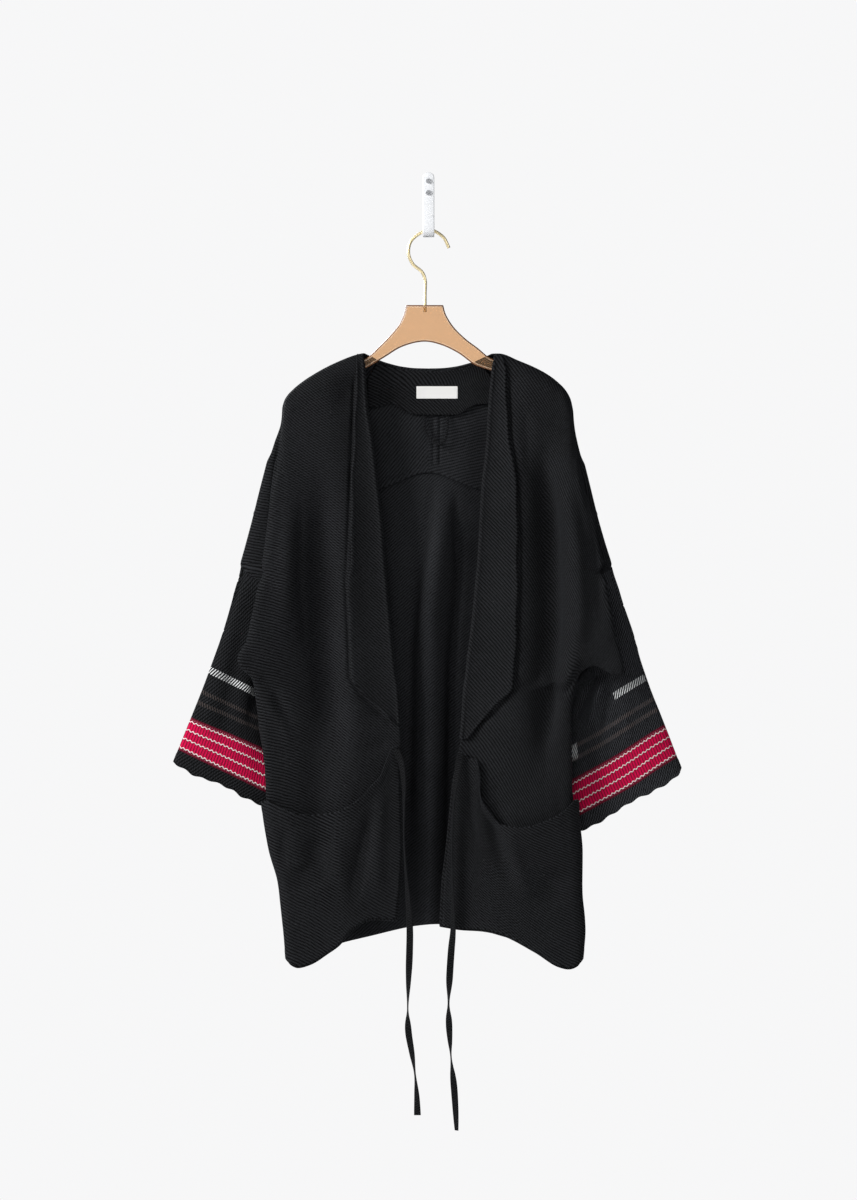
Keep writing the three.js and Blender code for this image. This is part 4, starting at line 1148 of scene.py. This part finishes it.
def makeYoke(name, side):
    bunched = [237, 238.5, 240.5, 243, 247, 252]
    levels = np.concatenate([bunched, np.linspace(258, yokeDrop - 0.4, back["yokeRows"])])[:, None]
    grid = backPoint(side, levels, np.linspace(0, 1, 200)[None], cloth["halfGap"])
    grid = softened(respaced(grid, back["yokeCols"]), 2)
    x, drop = seen(grid)
    weave = straightWeave(x, drop, *back[name + "Yoke"])
    held = ease((levels - 250) / 40)
    push = backPush(x, drop) * ease((levels - 290) / 60) + creasePush(back["seams"], x, drop)
    push = (push + back["yokeRim"] * ease((levels - yokeDrop + 9) / 3)) * ease((1 - shareAcross(grid)) / 0.1)
    grid = grid + outward(grid) * np.maximum(push * held, back["thinnest"] + grid[..., 1])[..., None]
    thick = cloth["wall"] + back["yokeRim"] * ease((levels - yokeDrop + 8) / 2)
    sewn(name + "Yoke", "back_yoke_" + name, grid, thick, weave, ["hangerPlate"], reverseToneAndPaintedLightCloth)


makeBack()
onBothSides(makeYoke)
print("back made")


# sleeves

pastSleeve = 900.0   # further along than any sleeve reaches
sleeves = {
    "rows": 130, "around": 140, "behind": 0.4, "rim": 0.9, "patchDrop": 112, "patchBefore": 27,
    "right": {
        "lean": 58, "pitch": 4.1, "bulge": 6, "ramp": (0.86, 1.0), "bright": 0.95,
        "dash": 4.6, "dashLean": -0.6, "slant": 0.6, "whiteEnds": pastSleeve, "bandLift": 0, "bandRise": 0,
        "wave": [[0, 0], [0.08, 2], [0.2, 3.5], [0.35, -0.5], [0.5, -2], [0.62, 0.5], [0.8, -0.5], [1, 0]],
        "creases": [
            ([(-262, 600), (-276, 670), (-292, 750), (-302, 820)], 12, -3, 0.3, 0.3),
            ([(-288, 650), (-316, 750), (-332, 810)], 13, 2, 0.3, 0.3),
            ([(-240, 690), (-252, 730), (-262, 790)], 10, -4, 0.2, 0.5),
            ([(-228, 800), (-236, 860), (-246, 890)], 9, 2, 0.3, 0.3),
        ],
    },
    "left": {
        # painted light: this sleeve's cloth is made 2.3 times lighter, as it lies in the shadow of the
        # front's ridge
        "lean": 47, "pitch": 3.4, "bulge": 1, "ramp": (0.84, 1.0), "bright": 2.3,
        "dash": 4.6, "dashLean": 0.75, "slant": 0.9, "whiteEnds": 62, "bandLift": 2.5, "bandRise": 5.5,
        "wave": [[0, 0], [0.05, 6], [0.15, 9], [0.3, 9], [0.45, 7], [0.6, 8.5], [0.8, 11], [0.93, 9], [1, 2]],
        "creases": [
            ([(247, 700), (229, 735), (212, 772)], 5, -7, 0.1, 0.3),
            ([(255, 704), (242, 745), (228, 792)], 6, 6, 0.2, 0.3),
            ([(266, 706), (259, 750), (248, 805)], 6, -5, 0.2, 0.4),
            ([(236, 692), (219, 712), (205, 732)], 5, 5, 0.1, 0.3),
            ([(300, 640), (318, 720), (332, 800)], 13, -3, 0.3, 0.4),
            ([(280, 690), (286, 760), (290, 830)], 10, 2, 0.3, 0.4),
        ],
    },
}


def cuffPlace(side, x, drop):
    # distance along the cuff's line from its outer end, 0 to 1, and height over it
    cuff = side["sleeve"]
    outer = np.array([side["sign"] * cuff["topX"][-1], cuff["topDrop"][-1]])
    under = np.array([side["sign"] * cuff["underX"][-1], cuff["underDrop"][-1]])
    width = np.linalg.norm(under - outer)
    way = (under - outer) / width
    along = ((x - outer[0]) * way[0] + (drop - outer[1]) * way[1]) / width
    over = ((x - outer[0]) * way[1] - (drop - outer[1]) * way[0]) * np.sign(way[0])
    return along, over, np.array([side["sign"] * way[1], abs(way[0])])


def makeSleeve(name, side):
    own = sleeves[name]
    along = bunchedShares(0.12, 26, sleeves["rows"])
    angle = np.arange(sleeves["around"] + 1) / sleeves["around"] * 2 * math.pi
    wide = sleevePoint(side, along[:, None], angle[None])
    across, over, down = cuffPlace(side, *seen(wide))
    ramp = ease((along - own["ramp"][0]) / (own["ramp"][1] - own["ramp"][0]))[:, None]
    wave = (read(table("along push", own["wave"]), "push", across) + 1.2 * np.sin(across * 43)) * ramp
    wide = wide + np.stack([down[0] * wave, 0 * wave, -down[1] * wave], -1)
    across, over, down = cuffPlace(side, *seen(wide))
    bulge = own["bulge"] * np.sin(math.pi * np.clip(across / 1.3, 0, 1))
    over = over - bulge * np.exp(-((over - 72) / 40) ** 2)
    over = over + own["bandLift"] + own["bandRise"] * ease(across / 0.5)
    around = overCloth(wide, 1)
    lean = math.radians(own["lean"])
    under = around[:, sleeves["around"] // 2][:, None]
    rightward = np.where(angle <= math.pi, around, 2 * under - around) * -side["sign"]
    wales = (rightward * math.sin(lean) - over * math.cos(lean)) / own["pitch"]
    weave = np.stack([wales, around], -1)
    grid = wide[:, :-1]
    x, drop = seen(grid)
    face = np.where(angle[:-1] <= math.pi, 1.0, sleeves["behind"])[None]
    push = creasePush(own["creases"], x, drop) * face + unevenness(x, drop, 0.7, 11 + side["sign"])
    grid = grid + outward(grid, True) * (push * ease(along / 0.1)[:, None])[..., None]
    row = int(np.argmin(np.abs(over[:, sleeves["around"] // 2] - sleeves["patchDrop"])))
    patch = float(under[row, 0]) - sleeves["patchBefore"] if name == "left" else pastSleeve
    ownCloth = bandedTwill(name + "SleeveTwill", own, patch)
    thick = cloth["wall"] + sleeves["rim"] * ease((along - 0.955) / 0.012)[:, None]
    onBands = np.stack([around, over], -1)
    sewn(name + "Sleeve", name + "_sleeve", grid, thick, weave, [name + "Front", "back"], ownCloth, onBands)


onBothSides(makeSleeve)
print("sleeves made")


# lapels

lapels = {"rows": 170, "cols": 34, "roll": 12, "cornerRows": 40, "rise": 2.6, "edgeLift": 1.4, "rim": 0.9,
          "spacing": 5.4, "lean": [[0, 44], [200, 46]]}


def makeLapel(name, side):
    # the lapel rolls round the front edge, lies back on the front and stands off at its free edge
    end = side["lapel"]["drop"][-1]
    corner = side["lapel"]["drop"][-4]
    straight = np.linspace(241, corner, lapels["rows"] - lapels["cornerRows"], endpoint=False)
    drops = np.concatenate([straight, np.linspace(corner, end, lapels["cornerRows"])])[:, None]
    t = np.linspace(0, 1, lapels["cols"])[None] ** 0.9
    edge = read(side["sections"], "edge", drops)
    ridge = read(side["sections"], "ridge", drops)
    free = read(side["lapel"], "free", drops)
    ripple = 1.2 * np.sin(drops / 31) + 0.8 * np.sin(drops / 13 + 1)
    free = free + ripple * ease((corner - drops) / 60)
    x = mix(edge, free, t)
    share = np.maximum(panelShare * (x - edge) / (ridge - turnWidth - edge), 0.004)
    level = levelAt(side, x, drops * np.ones_like(t))
    low = ease((drops - 238) / 26)
    lift = (lapels["rise"] * t ** 2 + lapels["edgeLift"] * np.exp(-t / 0.12)) * low
    away = cloth["wall"] + cloth["lap"] * (1 + low) + lift
    base, normal = dressedFront(name, side, level, share)
    flat = base + normal * away[..., None]
    # round the edge: from behind the front, past it, and on to the flat part
    turn = np.radians(np.linspace(-62, 78, lapels["roll"]))[None, :, None]
    first, out = base[:, :1], normal[:, :1]
    outwards = np.stack([-side["sign"] * np.ones_like(drops), 0 * drops, 0 * drops], -1)
    outwards = unit(outwards - out * (outwards * out).sum(-1, keepdims=True))
    radius = away[:, :1, None]
    rolled = first + out * radius * np.sin(turn) + outwards * (radius - 0.8) * np.cos(turn)
    grid = softened(np.concatenate([rolled, flat], 1), 1)
    weave = waleMap(grid, lapels["spacing"], lapels["lean"], side["sign"])
    edgeBand = np.concatenate([np.zeros((1, lapels["roll"])), ease((t - 0.9) / 0.03)], 1)
    thick = cloth["wall"] + lapels["rim"] * edgeBand * low
    sewn(name + "Lapel", name + "_lapel", grid, thick, weave, [name + "Front"])


onBothSides(makeLapel)
print("lapels made")


# pockets

pockets = {
    "rows": 100, "cols": 130, "gape": 10, "gap": 1.3, "lastShare": 0.78, "spacing": 4.4,
    "rim": 0.8, "foot": 0.7, "sink": 1.2,
    "right": {
        "lean": [[0, 26], [300, 20]],
        "creases": [
            ([(-82, 895), (-92, 950), (-106, 1010), (-106, 1045)], 9, -5, 0.2, 0.3),
            ([(-186, 975), (-176, 1020)], 24, -4, 0.3, 0.3),
            ([(-68, 860), (-73, 960), (-72, 1040)], 9, 2.5, 0.2, 0.3),
            ([(-206, 920), (-213, 1000)], 8, -2.5, 0.2, 0.4),
            ([(-164, 930), (-160, 1015)], 16, -6, 0.3, 0.3),
            ([(-132, 930), (-126, 1010)], 10, 2, 0.3, 0.4),
        ],
    },
    "left": {
        "lean": [[0, 44], [100, 40], [200, 24]],
        "creases": [
            ([(80, 860), (98, 930), (124, 1022)], 11, -6, 0.2, 0.3),
            ([(52, 845), (60, 905), (72, 965)], 7, -3, 0.2, 0.4),
            ([(184, 980), (172, 1040)], 20, -4, 0.3, 0.3),
            ([(106, 900), (124, 960), (146, 1030)], 9, 2.5, 0.3, 0.3),
        ],
    },
}


def makePocket(name, side):
    own = pockets[name]
    last = pockets["lastShare"]
    shares = np.linspace(0.012, last, 280)
    guess = np.abs(frontPoint(side, 850, shares)[..., 0])
    opening = levelAt(side, guess, read(side["pocket"], "drop", guess))
    v = bunchedShares(0.12, 22, pockets["rows"])[:, None]
    level = mix(opening[None], hemLevel - 3, v)
    share = np.broadcast_to(shares[None], level.shape)
    middle = np.sin(math.pi * shares / last)[None]
    gape = pockets["gape"] * middle * (1 - v) ** 2
    base, normal = dressedFront(name, side, level, share)
    away = cloth["wall"] + pockets["gap"] + gape
    grid = base + normal * away[..., None]
    x, drop = seen(grid)
    calm = inside(v, 0, 0.1, 1, 0.08) * inside(shares, 0, 0.04, last, 0.06)
    push = creasePush(own["creases"], x, drop) * calm
    grid = grid + normal * np.maximum(push, -gape - pockets["sink"])[..., None]
    grid = softened(respaced(grid, pockets["cols"]), 3)
    weave = waleMap(grid, pockets["spacing"], own["lean"], side["sign"])
    rim = pockets["rim"] * ease((0.075 - v) / 0.02) + pockets["foot"] * ease((v - 0.93) / 0.02)
    sewn(name + "Pocket", name + "_pocket", grid, cloth["wall"] + rim, weave, [name + "Front"])


onBothSides(makePocket)
print("pockets made")


# back neck facing, label and loop

facing = {
    "left": -88, "right": 90, "rows": 60, "cols": 170, "standOff": 3.2, "rim": 1.0,
    "spacing": 4.6, "lean": [[0, 24], [90, 40], [180, 50]],
    "edge": table("x drop", [
        [-88, 314], [-68, 311], [-53, 307], [-43, 312], [-32, 319], [-20, 323], [0, 324], [38, 324],
        [50, 320], [59, 314], [70, 309], [90, 308]]),
    "label": {"left": -17, "right": 42, "top": 284, "bottom": 301},
    "loop": table("x off drop", [
        [-6.5, 22.5, 326.5], [-5, 23.5, 346], [0, 24.5, 358], [9, 25, 366], [16, 25, 367.5],
        [22, 24.5, 364], [26.5, 23.5, 350], [27.5, 22.5, 326.5]]),
}


def onBack(x, drop, distance):
    slopeX = (backOff(x + 1, drop) - backOff(x - 1, drop)) / 2
    slopeDrop = (backOff(x, drop + 1) - backOff(x, drop - 1)) / 2
    size = distance / np.sqrt(1 + slopeX ** 2 + slopeDrop ** 2)
    return place(x - slopeX * size, backOff(x, drop) + size, drop - slopeDrop * size)


def facingLift(drop):
    return cloth["wall"] + 2 * cloth["lap"] + facing["standOff"] * ease((drop - 292) / 26)


def makeFacing():
    v = np.linspace(0, 1, facing["rows"])[:, None]
    x = mix(facing["left"], facing["right"], np.linspace(0, 1, facing["cols"]))[None]
    x = x * mix(0.86, 1, ease(v * 2))
    drop = mix(backTop(x) + 3, read(facing["edge"], "drop", x), v)
    grid = onBack(x, drop, facingLift(drop))
    weave = waleMap(grid, facing["spacing"], facing["lean"], 1)
    thick = cloth["wall"] + facing["rim"] * ease((v - 0.88) / 0.04) * np.ones_like(x)
    sewn("backNeckFacing", "back_neck_facing", grid, thick, weave, ["leftYoke", "rightYoke"])


def makeLabel():
    box = facing["label"]
    x = np.linspace(box["left"], box["right"], 40)
    x, drop = np.meshgrid(x, np.linspace(box["top"], box["bottom"], 12))
    grid = onBack(x, drop, facingLift(drop) + (cloth["wall"] + cloth["label"]) / 2 + cloth["lap"])
    sewn("neckLabel", "label", grid, cloth["label"], grid[..., ::2], ["backNeckFacing"], labelCloth)


def plainPaint(name, colour, fixed):
    return Paint(name, {**fixed, "Base Color": (*colour, 1)}).material


labelCloth = plainPaint("labelCloth", (0.80, 0.79, 0.77), {"Roughness": 0.75})
makeFacing()
makeLabel()
loopCourse = tapeLine(1, facing["loop"], 10)
makeCord("hangingLoop", "hanging_loop", loopCourse, (4, cloth["trim"]), blackCloth)
print("neck made")


# hanger and wall hook

clear = {"Roughness": 0.0, "Transmission Weight": 0.9, "IOR": 1.49}
amber = plainPaint("amberAcrylic", (0.82, 0.50, 0.28), clear)
# painted light on the acrylic's bevelled edges: a pale painted highlight on the rim next to each flat face
# and a dark painted shade on the steeper bevel, standing in for how the edges catch and bend light
bevelPaintedShade = plainPaint("acrylicEdgePaintedShade", (0.20, 0.085, 0.035), {"Roughness": 0.2})
rimPaintedHighlight = plainPaint("acrylicRimPaintedHighlight", (0.86, 0.60, 0.40), {"Roughness": 0.2, "Transmission Weight": 0.5})
# the gold's own colour; metallic is held at 0.6 so part of it shows as diffuse pale gold, a painted
# reflection of a bright room
gold = plainPaint("goldPlate", (0.95, 0.80, 0.48), {"Roughness": 0.3, "Metallic": 0.6})
white = plainPaint("whitePaint", (0.84, 0.85, 0.87), {"Roughness": 0.5, "Specular IOR Level": 0.25})
steel = plainPaint("screwSteel", (0.55, 0.56, 0.58), {"Roughness": 0.25, "Metallic": 1.0})
for node in ("upper_screw", "lower_screw"):
    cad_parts[node].data.materials.clear()
    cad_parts[node].data.materials.append(steel)

hanger = {
    "thick": 8, "edge": 3.0,
    "rightTop": [(-188, 292), (-174, 281.5), (-136, 260), (-104, 249.8), (-86, 241), (-72, 228), (-55, 210.5),
                 (-42, 194), (-35, 178), (-32.6, 168)],
    "stem": [(-32.6, 168), (-32, 166.9), (21, 166.9), (21.6, 168)],
    "leftTop": [(21.6, 168), (25, 180), (36, 198), (54, 216), (72, 229.6), (88, 242.6), (106, 249.6),
                (132, 257), (162, 271.5), (184, 287)],
    "arch": [(184, 287), (181.5, 296), (136, 276), (91, 262), (67, 253.4), (43, 236.4), (18, 224.6),
             (-6.5, 219.9), (-38, 227.2), (-64.5, 243), (-95, 260.6), (-140, 278), (-184, 298), (-188, 292)],
    "wire": table("x off drop", [
        [29.7, 42, 84], [21, 42, 68], [1, 42, 58], [-24.5, 42, 73], [-29, 42, 91],
        [-23, 42, 107], [-9.4, 42, 119], [-5, 42, 130], [-5, 42, 150], [-5, 42, 177]]),
    "wireWidth": 4.6,
}
strap = {
    "width": 17, "thick": 2.5,
    "route": table("x off drop", [
        [0, 1.25, -29], [0, 1.25, 10], [0, 1.25, 48], [0, 3, 57], [0, 9, 63], [0, 18, 65.5],
        [0, 36, 66.5], [0, 46, 66], [0, 52, 61], [0, 54, 53], [0, 54, 38]]),
}


def makePlate():
    # a flat outline drawn smoothly through its stops, with its thickness and eased edges
    outline = []
    for part in ("rightTop", "stem", "leftTop", "arch"):
        stops = np.array(hanger[part], float)
        if part == "stem":
            outline += stops[:-1].tolist()
            continue
        at = summed(np.sqrt(stepsAlong(stops)))
        outline += smoothThrough(at, stops, np.linspace(0, at[-1], len(stops) * 7))[:-1].tolist()
    drawing = bpy.data.curves.new("hangerOutline", "CURVE")
    drawing.dimensions = "2D"
    drawing.fill_mode = "BOTH"
    drawing.extrude = (hanger["thick"] / 2 - hanger["edge"]) * mm
    drawing.bevel_depth = hanger["edge"] * mm
    drawing.offset = -hanger["edge"] * mm
    drawing.bevel_resolution = 3
    line = drawing.splines.new("POLY")
    line.points.add(len(outline) - 1)
    for point, (x, drop) in zip(line.points, outline):
        point.co = (x * mm, -drop * mm, 0, 1)
    line.use_cyclic_u = True
    work = addPiece("hangerWork", drawing)
    bpy.context.view_layer.update()
    shape = bpy.data.meshes.new_from_object(work.evaluated_get(bpy.context.evaluated_depsgraph_get()))
    bpy.data.objects.remove(work)
    cast = bmesh.new()
    cast.from_mesh(shape)
    bmesh.ops.remove_doubles(cast, verts=cast.verts, dist=0.00001)
    for vert in cast.verts:
        vert.co = (vert.co.x, -seamOff * mm - vert.co.z, vert.co.y)
    bmesh.ops.recalc_face_normals(cast, faces=cast.faces)
    cast.to_mesh(shape)
    cast.free()
    shape.name = "hangerPlate"
    shape.materials.clear()
    for material in (amber, rimPaintedHighlight, bevelPaintedShade):
        shape.materials.append(material)
    for face in shape.polygons:
        face.use_smooth = True
        # clear amber on the flat faces, the painted highlight on the bevel next to them and the painted shade
        # where the bevel turns further
        face.material_index = int(abs(face.normal.y) < 0.995) + int(abs(face.normal.y) < 0.9)
    shape.set_sharp_from_angle(angle=math.radians(34))
    return addPiece("hangerPlate", shape)


finishPiece(makePlate(), "acrylic", "hanger_plate")
wireLine, wireTurn = tapeLine(1, hanger["wire"], 14)
wire = tapePiece("hangerWire", wireLine, wireTurn, hanger["wireWidth"], hanger["wireWidth"], gold, (1, 1))
finishPiece(wire, "gold_wire", "hanger_hook")
strapLine, strapTurn = tapeLine(1, strap["route"], 12)
fromTop = summed(stepsAlong(strapLine))
fromEnd = fromTop[-1] - fromTop
strapWidth = strap["width"] * np.minimum(0.25 + 0.75 * roundOver(fromTop, strap["width"] / 2),
                                         0.72 + 0.28 * roundOver(fromEnd, 4))
wallHook = tapePiece("wallHook", strapLine, strapTurn, strapWidth[:, None], strap["thick"], white,
                     (0.28, 0.5), np.array([1.0, 0, 0]))
finishPiece(wallHook, "white_paint", "wall_hook")
print("hanger and hook finished")


# floor

def addFloor():
    x, z = floorAt["x"], floorAt["height"]
    near, far = floorAt["near"], floorAt["far"]
    points = np.array([[-x, near, z], [x, near, z], [x, far, z], [-x, far, z]])
    floorPaint = plainPaint("paleFloor", (0.80, 0.80, 0.80), {"Roughness": 0.9})
    addMesh("floor", points, np.array([[0, 1, 2, 3]]), None, {}, floorPaint)


addFloor()
